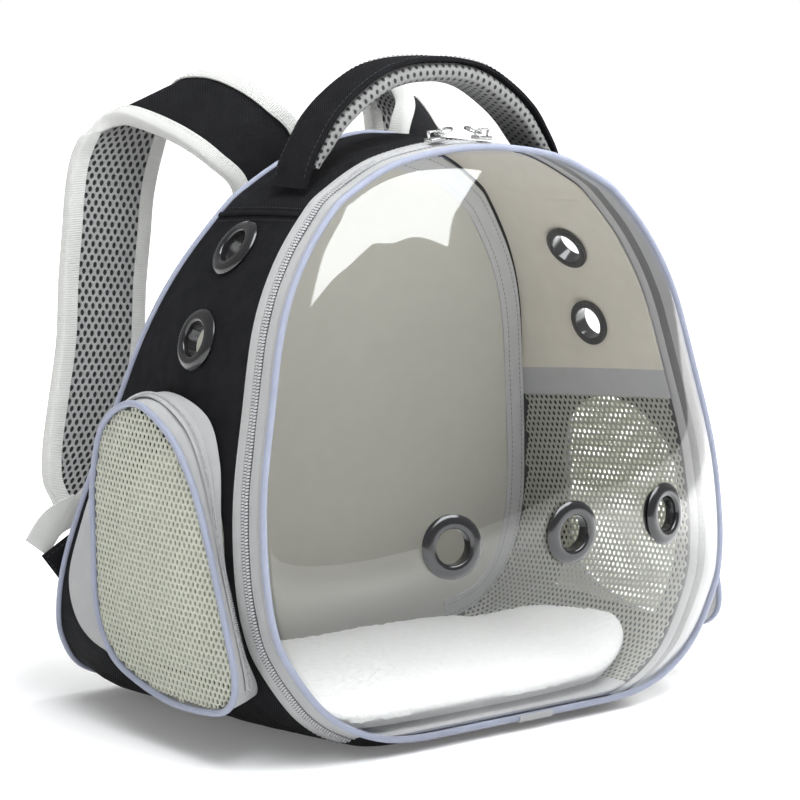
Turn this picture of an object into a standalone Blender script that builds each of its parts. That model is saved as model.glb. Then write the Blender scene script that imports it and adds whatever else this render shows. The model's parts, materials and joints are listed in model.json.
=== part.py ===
"""Bubble pet carrier backpack: a soft bag with a clear domed door, side pockets, a handle and two straps.

Metres, +Z up. The bubble faces -Y and the wearer's back is at +Y. The origin is on the floor, under the
middle of the base.
"""
import math

import bmesh
import bpy
from mathutils import Matrix, Vector
from mathutils.bvhtree import BVHTree

# The two rims of the bag: the door's rim in front and the back panel's rim behind
FRONT_WIDTH = 0.357
FRONT_HEIGHT = 0.342
BACK_WIDTH = 0.370
BACK_HEIGHT = 0.346
SIDE_HEIGHT = (FRONT_HEIGHT + BACK_HEIGHT) / 2
RIM_LIFT = 0.008
FRONT_Y_LOW = -0.1235
FRONT_Y_TOP = -0.080
BACK_Y_LOW = 0.118
BACK_Y_TOP = 0.026
SIDE_CROWN = 0.0025
LIFT_RAMP = 0.026
SPAN_STEPS = 2

# Cloth walls and the play between neighbours
GAP = 0.0003
GUSSET_WALL = 0.0022
LINING_WALL = 0.0012
TAPE_WALL = 0.0010
BACK_WALL = 0.008
BACK_CROWN = 0.005
SIDE_TAPER = 0.22
SIDE_STEPS = 2
SEAM_PLAY = 0.02

# The door's edge, from its rim backwards
PIPING_RADIUS = 0.0021
STRIP_WIDTH = 0.0105
COIL_WIDTH = 0.0072
ZIP_TAPE_WIDTH = 0.0075
COIL_PROUD = 0.0010
ZIP_END_LEFT = -0.115
ZIP_END_RIGHT = 0.096
SLEEVE_X = 0.011
SLEEVE_LENGTH = 0.026
SLEEVE_WALL = 0.0007

# The bubble
BUBBLE_DEPTH = 0.062
BUBBLE_POWER = 0.8
BUBBLE_MIDDLE_UP = 0.415
BUBBLE_WALL = 0.0012
BUBBLE_RINGS = (1.0, 0.94, 0.80, 0.56, 0.26)

# Ring grommets
VENT_WIDTH = 0.038
VENT_HOLE = 0.021
VENT_FLANGE = 0.0034
VENT_BACK_FLANGE = 0.0022
VENT_BACK_WIDTH = 0.031
VENT_NECK = 0.0016
VENT_PLAY = 0.0003
VENT_SIDES = 14
BUBBLE_VENT_X = 0.083
BUBBLE_VENT_Z = 0.377 * FRONT_HEIGHT

# Cabin: floor pad, seam tape, mesh panels and the arched windows behind them
PAD_WIDTH = 0.306
PAD_FRONT_Y = -0.093
PAD_BACK_Y = 0.092
PAD_THICK = 0.019
PAD_ROUND = 3.4
PAD_SIDES = 28
SEAM_TAPE_WIDTH = 0.013
WINDOW_WIDTH = 0.114
WINDOW_Y = -0.015
WINDOW_LOW_Z = 0.040
WINDOW_TOP_Z = 0.177

# Side pockets
POCKET_OUT = 0.192
POCKET_Y = -0.0240
POCKET_LENGTH = 0.147
POCKET_LOW_Z = 0.030
POCKET_HEIGHT = 0.503 * SIDE_HEIGHT
POCKET_WALL = 0.0014
POCKET_SEAT = 0.0013
POCKET_PIPING_RADIUS = 0.0021
POCKET_ZIP_WALL = 0.0009
POCKET_ZIP_PLAY = 0.0013
POCKET_CROWN = 0.004

# Handle
HANDLE_SPAN = 0.194
HANDLE_RISE = 0.065
HANDLE_FOOT_Z = SIDE_HEIGHT - 0.006
HANDLE_Y = -0.028
HANDLE_WIDTH = 0.034
HANDLE_COVER = 0.003
HANDLE_PAD = 0.0115
HANDLE_PAD_WIDTH = 0.031

# Shoulder straps
STRAP_WIDTH = 0.060
STRAP_REACH = 0.138
STRAP_STEPS = 1
STRAP_PAD = 0.0046
STRAP_MESH = 0.0018
BINDING_WIDTH = 0.0100
BINDING_WALL = 0.0010
BINDING_PLAY = 0.0014
WEBBING_WIDTH = 0.019
WEBBING_WALL = 0.0016
TAB_WALL = 0.0018

# Zip sliders and their ring pulls
SLIDER_X = 0.018
SLIDER_LENGTH = 0.011
SLIDER_WIDTH = 0.0086
SLIDER_HEIGHT = 0.0026
BRIDGE_WIDTH = 0.0020
BRIDGE_WALL = 0.0013
BRIDGE_ROOM = 0.0032
PULL_RADIUS = 0.0052
PULL_WIRE = 0.0008
PULL_TILT_DEG = 20.0

# The two rims from the middle of the top round to the middle of the bottom: across as a share of half
# the rim's width and up as a share of its height, first for the front rim, then for the back rim
RIM_SHAPE = (
    (0.000, 1.000, 0.000, 1.000),
    (0.325, 0.981, 0.284, 0.968),
    (0.543, 0.933, 0.480, 0.910),
    (0.640, 0.895, 0.570, 0.865),
    (0.760, 0.820, 0.705, 0.767),
    (0.857, 0.720, 0.800, 0.660),
    (0.930, 0.572, 0.874, 0.523),
    (0.985, 0.440, 0.945, 0.385),
    (1.000, 0.320, 0.995, 0.250),
    (0.985, 0.225, 0.995, 0.155),
    (0.935, 0.158, 0.960, 0.092),
    (0.803, 0.069, 0.870, 0.035),
    (0.616, 0.016, 0.700, 0.004),
    (0.400, 0.000, 0.450, 0.000),
    (0.000, 0.000, 0.000, 0.000),
)
SHOULDER_ROW = 3
PANEL_ROW = 6
CORNER_ROW = 12
BAND_ROWS = 0.4

# Side pocket from its top backwards round its foot and up its front: forward as a share of its length
# and up as a share of its height, first for the piped ring, then for the foot on the bag's side
POCKET_SHAPE = (
    (-0.187, 1.000, -0.235, 1.023),
    (-0.412, 0.907, -0.493, 0.925),
    (-0.500, 0.694, -0.630, 0.705),
    (-0.500, 0.462, -0.700, 0.490),
    (-0.493, 0.289, -0.745, 0.290),
    (-0.439, 0.162, -0.670, 0.127),
    (-0.303, 0.064, -0.473, 0.058),
    (0.024, 0.000, -0.031, 0.035),
    (0.310, 0.006, 0.255, 0.023),
    (0.459, 0.046, 0.385, 0.069),
    (0.500, 0.150, 0.422, 0.185),
    (0.418, 0.370, 0.388, 0.393),
    (0.310, 0.613, 0.320, 0.647),
    (0.207, 0.786, 0.258, 0.832),
    (0.051, 0.925, 0.100, 0.977),
)
POCKET_ZIP_ROWS = (9.5, 16.2)
POCKET_ZIP_SHARES = (0.36, 0.66)

# Handle from the middle to a foot: across as a share of half its span, up as a share of its rise and
# the share of its pad's thickness
HANDLE_SHAPE = (
    (0.000, 1.000, 1.00),
    (0.227, 0.977, 1.00),
    (0.433, 0.892, 1.00),
    (0.639, 0.715, 1.00),
    (0.804, 0.508, 0.95),
    (0.918, 0.277, 0.80),
    (1.000, 0.060, 0.50),
    (1.055, -0.130, 0.30),
)

# Strap from its root on the back panel over its hump and down to its end: across as a share of half
# the back's width, up as a share of its height and back as a share of the strap's reach, then how far
# its inner edge rises and swings forward in degrees, and the share of its width
STRAP_SHAPE = (
    (0.308, 0.855, 0.3655, 28, -5, 1.00),
    (0.324, 0.955, 0.365, 40, -11, 1.00),
    (0.389, 1.003, 0.435, 39, -13, 1.00),
    (0.427, 1.035, 0.565, 38, -15, 1.00),
    (0.465, 1.055, 0.703, 35, -13, 1.00),
    (0.500, 1.062, 0.830, 27, -12, 1.00),
    (0.522, 1.056, 0.900, 23, -12, 1.00),
    (0.541, 1.040, 0.945, 18, -11, 1.00),
    (0.563, 1.020, 0.970, 13, -10, 1.00),
    (0.589, 1.003, 0.978, 7, -10, 1.00),
    (0.622, 0.948, 1.000, -3, -9, 1.00),
    (0.649, 0.887, 1.000, -6, -6, 1.00),
    (0.670, 0.818, 0.986, -7, -5, 1.00),
    (0.697, 0.725, 0.971, -6, -4, 1.00),
    (0.724, 0.618, 0.942, -5, -4, 1.00),
    (0.773, 0.514, 0.913, -4, -4, 1.00),
    (0.816, 0.436, 0.891, -2, -5, 0.95),
    (0.865, 0.382, 0.870, 0, -5, 0.73),
    (0.903, 0.344, 0.848, 0, -10, 0.36),
)

# The strap's lower fastening, in the same three shares
WEBBING_PATH = (
    (1.065, 0.268, 0.782),
    (1.000, 0.310, 0.780),
    (0.900, 0.332, 0.775),
)
FOLD_PATH = (
    (0.885, 0.318, 0.754),
    (0.850, 0.322, 0.730),
    (0.838, 0.322, 0.695),
)
TAB_CORNERS = (
    (1.060, 0.255, 0.752),
    (0.900, 0.322, 0.667),
    (0.865, 0.130, 0.802),
)

# Grommets in the sides: the side, Y, and Z as a share of the sides' height
SIDE_VENTS = (
    ("side_vent_left_upper", -1, -0.010, 0.849),
    ("side_vent_left_lower", -1, -0.009, 0.695),
    ("side_vent_right_upper", 1, -0.014, 0.814),
    ("side_vent_right_lower", 1, -0.012, 0.663),
)

COLOURS = {
    "black_fabric": ((0.012, 0.012, 0.014), 0.85, 0.0),
    "grey_fabric": ((0.55, 0.55, 0.53), 0.8, 0.0),
    "beige_fabric": ((0.40, 0.38, 0.33), 0.85, 0.0),
    "greige_fabric": ((0.36, 0.355, 0.31), 0.85, 0.0),
    "white_plush": ((0.85, 0.85, 0.83), 0.95, 0.0),
    "cream_mesh": ((0.62, 0.63, 0.54), 0.8, 0.0),
    "grey_mesh": ((0.45, 0.45, 0.44), 0.8, 0.0),
    "off_white_tape": ((0.72, 0.72, 0.68), 0.7, 0.0),
    "lavender_piping": ((0.36, 0.38, 0.48), 0.5, 0.0),
    "grey_zip": ((0.42, 0.42, 0.43), 0.5, 0.0),
    "clear_film": ((0.80, 0.80, 0.78), 0.05, 0.0),
    "black_plastic": ((0.015, 0.015, 0.016), 0.2, 0.0),
    "bright_metal": ((0.75, 0.75, 0.74), 0.2, 1.0),
}

STRIP_START = PIPING_RADIUS + GAP
COIL_START = STRIP_START + STRIP_WIDTH + GAP
TAPE_START = COIL_START + COIL_WIDTH + GAP
GUSSET_START = TAPE_START + ZIP_TAPE_WIDTH + GAP
BACK_MARGIN = PIPING_RADIUS + GAP
CABIN_MARGIN = BACK_MARGIN + BACK_WALL + GAP
LINING_DEPTH = GUSSET_WALL + GAP
CABIN_DEPTH = LINING_DEPTH + LINING_WALL
FRONT_LEAN = math.atan2(FRONT_Y_TOP - FRONT_Y_LOW, FRONT_HEIGHT)
BACK_LEAN = math.atan2(BACK_Y_TOP - BACK_Y_LOW, BACK_HEIGHT)
AHEAD = Vector((0.0, -math.cos(FRONT_LEAN), math.sin(FRONT_LEAN)))
BEHIND = Vector((0.0, math.cos(BACK_LEAN), -math.sin(BACK_LEAN)))


def smooth_through(points, steps, closed):
    """Points along a smooth curve through the given ones, a fixed number for each span."""
    count = len(points)
    spans = count if closed else count - 1
    out = []
    for span in range(spans):
        if closed:
            four = [points[(span + k) % count] for k in (-1, 0, 1, 2)]
        else:
            four = [points[min(max(span + k, 0), count - 1)] for k in (-1, 0, 1, 2)]
        for step in range(steps):
            t = step / steps
            out.append(tuple(
                0.5 * (2 * b + (c - a) * t + (2 * a - 5 * b + 4 * c - d) * t * t
                       + (3 * b - a - 3 * c + d) * t * t * t)
                for a, b, c, d in zip(*four)))
    if not closed:
        out.append(tuple(points[-1]))
    return out


def rim_shares():
    """Both rims as shares, closed, from the middle of the top over +X to the bottom and back."""
    mirrored = [(-fa, fu, -ba, bu) for fa, fu, ba, bu in reversed(RIM_SHAPE[1:-1])]
    loop = smooth_through(list(RIM_SHAPE) + mirrored, SPAN_STEPS, True)
    return [(fa, max(fu, 0.0), ba, max(bu, 0.0)) for fa, fu, ba, bu in loop]


RIM = rim_shares()
COUNT = len(RIM)
SHOULDER = SHOULDER_ROW * SPAN_STEPS
PANEL = PANEL_ROW * SPAN_STEPS
CORNER = CORNER_ROW * SPAN_STEPS


def front_y(z):
    return FRONT_Y_LOW + (FRONT_Y_TOP - FRONT_Y_LOW) * (z - RIM_LIFT) / FRONT_HEIGHT


def back_y(z):
    return BACK_Y_LOW + (BACK_Y_TOP - BACK_Y_LOW) * (z - RIM_LIFT) / BACK_HEIGHT


def rim_points(place):
    """The front and the back rim at a station, which may lie between two."""
    low = math.floor(place)
    part = place - low
    fa, fu, ba, bu = [a + (b - a) * part for a, b in zip(RIM[low % COUNT], RIM[(low + 1) % COUNT])]
    front_z = RIM_LIFT + fu * FRONT_HEIGHT
    back_z = RIM_LIFT + bu * BACK_HEIGHT
    front = Vector((fa * FRONT_WIDTH / 2, front_y(front_z), front_z))
    back = Vector((ba * BACK_WIDTH / 2, back_y(back_z), back_z))
    return front, back


def rim_normal(place):
    """The direction out of the bag at a station, in the XZ plane."""
    before = sum(rim_points(place - 0.6), Vector())
    after = sum(rim_points(place + 0.6), Vector())
    along = after - before
    return Vector((-along.z, 0.0, along.x)).normalized()


def depth_at(place):
    front, back = rim_points(place)
    return back.y - front.y


def side_point(place, distance, out):
    """A point of the bag's side: a station, a distance behind the front rim and an offset outwards."""
    front, back = rim_points(place)
    depth = back.y - front.y
    share = distance / depth
    normal = rim_normal(place)
    crown = SIDE_CROWN * 4 * share * (1 - share)
    spot = front.lerp(back, share) + normal * (crown + out)
    ramp = max(min(distance / LIFT_RAMP, (depth - distance) / LIFT_RAMP, 1.0), 0.0)
    spot.z -= RIM_LIFT * max(-normal.z, 0.0) ** 2 * ramp
    spot.z = max(spot.z, -min(out, 0.0))
    return spot


def place_at_x(x, top):
    """The station where the front rim passes a given X, on its top or its bottom half."""
    places = [step / 50 for step in range(COUNT * 50)]
    half = [p for p in places if (p < COUNT / 4 or p > 3 * COUNT / 4) == top]
    return min(half, key=lambda p: abs(rim_points(p)[0].x - x))


def stations(start, end):
    """Stations from start up to end, round past the last one where needed."""
    if end < start:
        end += COUNT
    return [start] + [p for p in range(math.ceil(start + 0.2), math.floor(end - 0.2) + 1)] + [end]


def behind(distance):
    return lambda place: distance


def before_back(distance):
    return lambda place: depth_at(place) - distance


def side_rows(places, near, far, out, rows):
    """Rows of points on the bag's side, with near and far as functions of the station."""
    net = []
    for row in range(rows + 1):
        share = row / rows
        net.append([side_point(p, near(p) + (far(p) - near(p)) * share, out) for p in places])
    return net


def clear_scene():
    for item in list(bpy.data.objects):
        bpy.data.objects.remove(item)


def make_collection(name):
    collection = bpy.data.collections.new(name)
    bpy.context.scene.collection.children.link(collection)
    return collection


clear_scene()
PARTS = make_collection("bubble_pet_carrier")
CUTTERS = make_collection("cutters")


def finish_of(name):
    material = bpy.data.materials.get(name)
    if material is None:
        colour, roughness, metallic = COLOURS[name]
        material = bpy.data.materials.new(name)
        material.use_nodes = True
        shader = material.node_tree.nodes["Principled BSDF"]
        shader.inputs["Base Color"].default_value = (*colour, 1.0)
        shader.inputs["Roughness"].default_value = roughness
        shader.inputs["Metallic"].default_value = metallic
        material.diffuse_color = (*colour, 1.0)
    return material


def add_mesh(name, work, finish, collection=PARTS):
    """Closes a bmesh into an object with its faces pointing out."""
    bmesh.ops.remove_doubles(work, verts=work.verts, dist=1e-6)
    bmesh.ops.recalc_face_normals(work, faces=work.faces)
    mesh = bpy.data.meshes.new(name)
    work.to_mesh(mesh)
    work.free()
    if finish:
        mesh.materials.append(finish_of(finish))
    item = bpy.data.objects.new(name, mesh)
    collection.objects.link(item)
    return item


def cover_net(work, rows, around):
    """Triangles over a net of points, all cut along the same diagonal."""
    length = len(rows[0])
    last = length if around else length - 1
    for row, following in zip(rows, rows[1:]):
        for k in range(last):
            n = (k + 1) % length
            work.faces.new((row[k], row[n], following[n]))
            work.faces.new((row[k], following[n], following[k]))


def lofted(name, finish, outer, inner, around=False, capped=False):
    """A wall between two nets of points, given as rows. Around closes each row on itself. Capped fills
    the last row of both nets, so that the wall is a disc."""
    work = bmesh.new()
    nets = [[[work.verts.new(point) for point in row] for row in rows] for rows in (outer, inner)]
    for net in nets:
        cover_net(work, net, around)
    cover_net(work, [nets[0][0], nets[1][0]], around)
    if capped:
        for net in nets:
            work.faces.new(net[-1])
    else:
        cover_net(work, [nets[0][-1], nets[1][-1]], around)
    if not around:
        for side in (0, -1):
            cover_net(work, [[row[side] for row in net] for net in nets], False)
    return add_mesh(name, work, finish)


def swept(name, finish, sections, closed=False, collection=PARTS):
    """A bar through closed sections, with flat ends unless it runs round in a loop."""
    work = bmesh.new()
    rings = [[work.verts.new(point) for point in section] for section in sections]
    cover_net(work, rings + rings[:1] if closed else rings, True)
    if not closed:
        work.faces.new(rings[0])
        work.faces.new(rings[-1])
    return add_mesh(name, work, finish, collection)


def cord(name, finish, points, radius):
    """A closed round cord through the points."""
    curve = bpy.data.curves.new(name, "CURVE")
    curve.dimensions = "3D"
    spline = curve.splines.new("POLY")
    spline.points.add(len(points) - 1)
    for slot, point in zip(spline.points, points):
        slot.co = (*point, 1.0)
    spline.use_cyclic_u = True
    curve.bevel_depth = radius
    curve.bevel_resolution = 1
    curve.materials.append(finish_of(finish))
    item = bpy.data.objects.new(name, curve)
    PARTS.objects.link(item)
    return item


def cut_with(item, cutter, operation="DIFFERENCE"):
    cutter.hide_render = True
    cutter.display_type = "WIRE"
    cut = item.modifiers.new(cutter.name, "BOOLEAN")
    cut.operation = operation
    cut.solver = "EXACT"
    cut.object = cutter


def tree_of(rows, around):
    """A surface to cast rays on, from a net of points."""
    length = len(rows[0])
    last = length if around else length - 1
    faces = []
    for row in range(len(rows) - 1):
        for k in range(last):
            n = (k + 1) % length
            a, b, c, d = row * length + k, row * length + n, (row + 1) * length + n, (row + 1) * length + k
            faces += [(a, b, c), (a, c, d)]
    return BVHTree.FromPolygons([point for row in rows for point in row], faces)


def side_tree(out):
    return tree_of(wall_rows(range(COUNT), out, True), True)


def side_x(tree, y, z, sign):
    """X of the bag's side at a height and a depth."""
    hit = tree.ray_cast(Vector((sign, y, z)), Vector((-sign, 0.0, 0.0)))[0]
    return hit.x


def vent(name, tree, start, ray, wall, walls):
    """A grommet clamped through a wall where a ray meets it, turned from one profile, and its hole."""
    spot = tree.ray_cast(start, ray)[0]
    turn = ray.to_track_quat("Z", "Y").to_matrix()

    def hits(radius):
        found = []
        for side in range(VENT_SIDES):
            angle = 2 * math.pi * side / VENT_SIDES
            shift = turn @ Vector((radius * math.cos(angle), radius * math.sin(angle), 0.0))
            found.append(tree.ray_cast(start + shift, ray)[:2])
        return found

    normal = Vector()
    for point, facing in hits(VENT_WIDTH / 3):
        normal -= facing * math.copysign(1.0, facing.dot(ray))
    normal.normalize()
    near = [(point - spot).dot(normal) for radius in (0.4, 0.8) for point, facing in hits(VENT_WIDTH / 2 * radius)]
    far = [(point - spot).dot(normal) for point, facing in hits(VENT_WIDTH / 2)]
    rise = max(near + far + [0.0])
    fall = min(near + [0.0])
    hole = VENT_HOLE / 2
    neck = hole + VENT_NECK
    rim = VENT_WIDTH / 2
    top = rise + VENT_PLAY
    low = fall - wall - VENT_PLAY
    profile = (
        (hole, top + VENT_FLANGE * 0.70),
        (hole + 0.0018, top + VENT_FLANGE),
        (rim - 0.0030, top + VENT_FLANGE),
        (rim, top + VENT_FLANGE * 0.45),
        (rim - 0.0006, top),
        (neck, top),
        (neck, low),
        (VENT_BACK_WIDTH / 2, low),
        (VENT_BACK_WIDTH / 2 - 0.0008, low - VENT_BACK_FLANGE),
        (hole, low - VENT_BACK_FLANGE),
    )
    frame = Matrix.Translation(spot) @ normal.to_track_quat("Z", "Y").to_matrix().to_4x4()
    sections = []
    for side in range(VENT_SIDES):
        angle = 2 * math.pi * side / VENT_SIDES
        sections.append([frame @ Vector((r * math.cos(angle), r * math.sin(angle), h)) for r, h in profile])
    swept(name, "black_plastic", sections, closed=True)
    rings = []
    for height in (top + VENT_FLANGE, low - VENT_FLANGE):
        ring = []
        for side in range(VENT_SIDES):
            angle = 2 * math.pi * side / VENT_SIDES
            reach = neck + 2 * GAP
            ring.append(frame @ Vector((reach * math.cos(angle), reach * math.sin(angle), height)))
        rings.append(ring)
    cutter = swept(name + "_hole", None, rings, collection=CUTTERS)
    for item in walls:
        cut_with(item, cutter)


def door_edge():
    """Piping, sleeve, strip, zip and the black strip under the door between the zip's ends."""
    cord("door_piping", "lavender_piping", [rim_points(k)[0] for k in range(COUNT)], PIPING_RADIUS)
    right = place_at_x(ZIP_END_RIGHT, False)
    left = place_at_x(ZIP_END_LEFT, False)
    bands = (
        ("door_strip", "grey_fabric", STRIP_START, STRIP_WIDTH, 0.0),
        ("zip_coil", "grey_zip", COIL_START, COIL_WIDTH, COIL_PROUD),
        ("zip_tape", "grey_fabric", TAPE_START, ZIP_TAPE_WIDTH, 0.0),
    )
    for name, finish, start, width, proud in bands:
        places = stations(left + SEAM_PLAY, right - SEAM_PLAY)
        outer = side_rows(places, behind(start), behind(start + width), proud, 1)
        inner = side_rows(places, behind(start), behind(start + width), -TAPE_WALL, 1)
        lofted(name, finish, outer, inner)
    places = stations(right + SEAM_PLAY, left - SEAM_PLAY)
    outer = side_rows(places, behind(STRIP_START), behind(GUSSET_START - GAP), 0.0, 2)
    inner = side_rows(places, behind(STRIP_START), behind(GUSSET_START - GAP), -TAPE_WALL, 2)
    lofted("door_hinge", "black_fabric", outer, inner)
    piping_sleeve()


def piping_sleeve():
    """The sleeve over the piping's joint, open towards the bubble and the seam."""
    low = PIPING_RADIUS + GAP
    high = low + SLEEVE_WALL
    angles = [math.radians(degrees) for degrees in (-55, -20, 15, 50, 85, 120)]
    start = place_at_x(SLEEVE_X + SLEEVE_LENGTH / 2, False)
    end = place_at_x(SLEEVE_X - SLEEVE_LENGTH / 2, False)
    sections = []
    for place in stations(start, end):
        middle = rim_points(place)[0]
        down = rim_normal(place)
        section = []
        for radius, order in ((high, angles), (low, reversed(angles))):
            section += [middle + (down * math.cos(a) + AHEAD * math.sin(a)) * radius for a in order]
        sections.append(section)
    swept("piping_sleeve", "grey_fabric", sections)


def bubble_point(share, place, out):
    """A point of the bubble between its middle and a station of the rim."""
    middle_z = RIM_LIFT + BUBBLE_MIDDLE_UP * FRONT_HEIGHT
    middle = Vector((0.0, front_y(middle_z), middle_z))
    inset = rim_points(place)[0] - rim_normal(place) * (PIPING_RADIUS + GAP)
    rim = Vector((inset.x, front_y(inset.z), inset.z))
    bulge = BUBBLE_DEPTH * (1 - share ** 2) ** BUBBLE_POWER
    return middle.lerp(rim, share) + AHEAD * (bulge + out)


def bubble():
    outer = [[bubble_point(share, k, 0.0) for k in range(COUNT)] for share in BUBBLE_RINGS]
    inner = [[bubble_point(share, k, -BUBBLE_WALL) for k in range(COUNT)] for share in BUBBLE_RINGS]
    window = lofted("bubble_window", "clear_film", outer, inner, around=True, capped=True)
    cap = sum(outer[-1], Vector()) / COUNT
    tree = tree_of(outer + [[cap] * COUNT], True)
    for sign, label in ((-1, "left"), (0, "centre"), (1, "right")):
        start = Vector((sign * BUBBLE_VENT_X, -1.0, BUBBLE_VENT_Z))
        vent("bubble_vent_" + label, tree, start, Vector((0.0, 1.0, 0.0)), BUBBLE_WALL * 1.6, [window])


def window_cutter(sign):
    """The arched opening in the side gusset, behind the pocket."""
    half = WINDOW_WIDTH / 2
    outline = [(WINDOW_Y - half, WINDOW_LOW_Z), (WINDOW_Y + half, WINDOW_LOW_Z)]
    for step in range(9):
        angle = math.pi * step / 8
        outline.append((WINDOW_Y + half * math.cos(angle), WINDOW_TOP_Z - half + half * math.sin(angle)))
    sections = [[Vector((sign * x, y, z)) for y, z in outline] for x in (FRONT_WIDTH / 4, FRONT_WIDTH)]
    name = "window_left" if sign < 0 else "window_right"
    return swept(name, None, sections, collection=CUTTERS)


def wall_rows(places, out, to_rim):
    """Rows of the bag's walls: even ones, then one where the cabin ends and one at the back seam."""
    net = side_rows(places, behind(GUSSET_START), before_back(LIFT_RAMP), out, SIDE_STEPS)
    net.append([side_point(p, depth_at(p) - CABIN_MARGIN, out) for p in places])
    if to_rim:
        net.append([side_point(p, depth_at(p) - BACK_MARGIN, out) for p in places])
    return net


def side_wall(name, finish, start, end, to_rim, out, wall):
    places = stations(start + SEAM_PLAY, end - SEAM_PLAY)
    return lofted(name, finish, *[wall_rows(places, offset, to_rim) for offset in (out, out - wall)])


def bag_walls():
    """Gussets, base, lining and the inner mesh panels, all of them strips of the same side surface."""
    outside = side_tree(0.0)
    gussets = {}
    linings = {}
    for sign, label in ((1, "right"), (-1, "left")):
        def span(high, low):
            return (high, low) if sign > 0 else (COUNT - low, COUNT - high)
        gusset = side_wall("side_gusset_" + label, "black_fabric", *span(SHOULDER, CORNER), True, 0.0,
                           GUSSET_WALL)
        cut_with(gusset, window_cutter(sign))
        band = PANEL + BAND_ROWS * SPAN_STEPS
        lining = side_wall("lining_" + label, "beige_fabric", *span(SHOULDER, PANEL), False,
                           -LINING_DEPTH, LINING_WALL)
        side_wall("mesh_band_" + label, "grey_fabric", *span(PANEL, band), False, -LINING_DEPTH,
                  LINING_WALL)
        side_wall("mesh_panel_" + label, "grey_mesh", *span(band, CORNER), False, -LINING_DEPTH,
                  LINING_WALL)
        gussets[sign] = gusset
        linings[sign] = lining
    side_wall("top_gusset", "black_fabric", COUNT - SHOULDER, COUNT + SHOULDER, True, 0.0, GUSSET_WALL)
    side_wall("lining_top", "beige_fabric", COUNT - SHOULDER, COUNT + SHOULDER, False, -LINING_DEPTH,
              LINING_WALL)
    side_wall("base_panel", "black_fabric", CORNER, COUNT - CORNER, True, 0.0, GUSSET_WALL)
    side_wall("lining_floor", "grey_fabric", CORNER, COUNT - CORNER, False, -LINING_DEPTH, LINING_WALL)
    for name, sign, y, up in SIDE_VENTS:
        start = Vector((sign, y, up * SIDE_HEIGHT))
        ray = Vector((-sign, 0.0, 0.0))
        vent(name, outside, start, ray, CABIN_DEPTH, [gussets[sign], linings[sign]])


def back_ring(share, inset, out):
    """A ring in the back panel's plane, drawn in towards its middle and moved outwards."""
    middle_z = RIM_LIFT + BACK_HEIGHT * 0.45
    ring = []
    for k in range(COUNT):
        rim = rim_points(k)[1] - rim_normal(k) * inset
        z = middle_z + (rim.z - middle_z) * share
        ring.append(Vector((rim.x * share, back_y(z), z)) + BEHIND * out)
    return ring


def back_walls():
    cord("back_piping", "lavender_piping", [rim_points(k)[1] for k in range(COUNT)], PIPING_RADIUS)
    rings = ((1.0, 0.0), (0.88, 0.65), (0.50, 1.0))
    inset = BACK_MARGIN + GAP
    outer = [back_ring(share, inset, crown * BACK_CROWN) for share, crown in rings]
    inner = [back_ring(share, inset + BACK_WALL * SIDE_TAPER, -BACK_WALL) for share, crown in rings]
    lofted("back_panel", "black_fabric", outer, inner, around=True, capped=True)
    inset = CABIN_DEPTH + 2 * GAP
    front = -BACK_WALL - GAP
    outer = [back_ring(1.0, inset, front)]
    inner = [back_ring(1.0, inset, front - LINING_WALL)]
    lofted("lining_back", "greige_fabric", outer, inner, around=True, capped=True)
    seam_tape(inset + BACK_WALL * SIDE_TAPER, front - LINING_WALL - GAP)


def seam_tape(inset, out):
    """The tape over the seam between the side linings and the back lining, open along the floor."""
    nets = []
    for shift in (out, out - TAPE_WALL):
        rows = []
        for width in (0.0, SEAM_TAPE_WIDTH):
            row = []
            for place in stations(COUNT - CORNER, COUNT + CORNER):
                rim = rim_points(place)[1] - rim_normal(place) * (inset + width)
                row.append(Vector((rim.x, back_y(rim.z), rim.z)) + BEHIND * shift)
            rows.append(row)
        nets.append(rows)
    lofted("lining_binding", "grey_fabric", *nets)


def floor_pad():
    """A plump pad that lies in the cabin's floor and follows its rising sides."""
    tree = side_tree(-CABIN_DEPTH)
    middle_y = (PAD_FRONT_Y + PAD_BACK_Y) / 2
    half_y = (PAD_BACK_Y - PAD_FRONT_Y) / 2

    def ring(share, lift):
        points = []
        for side in range(PAD_SIDES):
            angle = 2 * math.pi * (side + 0.5) / PAD_SIDES
            c = math.cos(angle)
            s = math.sin(angle)
            reach = share * (abs(c) ** PAD_ROUND + abs(s) ** PAD_ROUND) ** (-1 / PAD_ROUND)
            x = reach * c * PAD_WIDTH / 2
            y = middle_y + reach * s * half_y
            ground = tree.ray_cast(Vector((x, y, FRONT_HEIGHT / 3)), Vector((0.0, 0.0, -1.0)))[0]
            floor_z = ground.z if ground else CABIN_DEPTH
            points.append(Vector((x, y, floor_z + lift)))
        return points

    rest = 3 * GAP
    low = [ring(0.995, PAD_THICK * 0.45), ring(0.93, PAD_THICK * 0.12 + rest), ring(0.80, rest), ring(0.55, rest)]
    top = [ring(1.0, PAD_THICK * 0.62), ring(0.97, PAD_THICK * 0.88), ring(0.88, PAD_THICK), ring(0.55, PAD_THICK)]
    lofted("floor_pad", "white_plush", top, low, around=True, capped=True)


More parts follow.
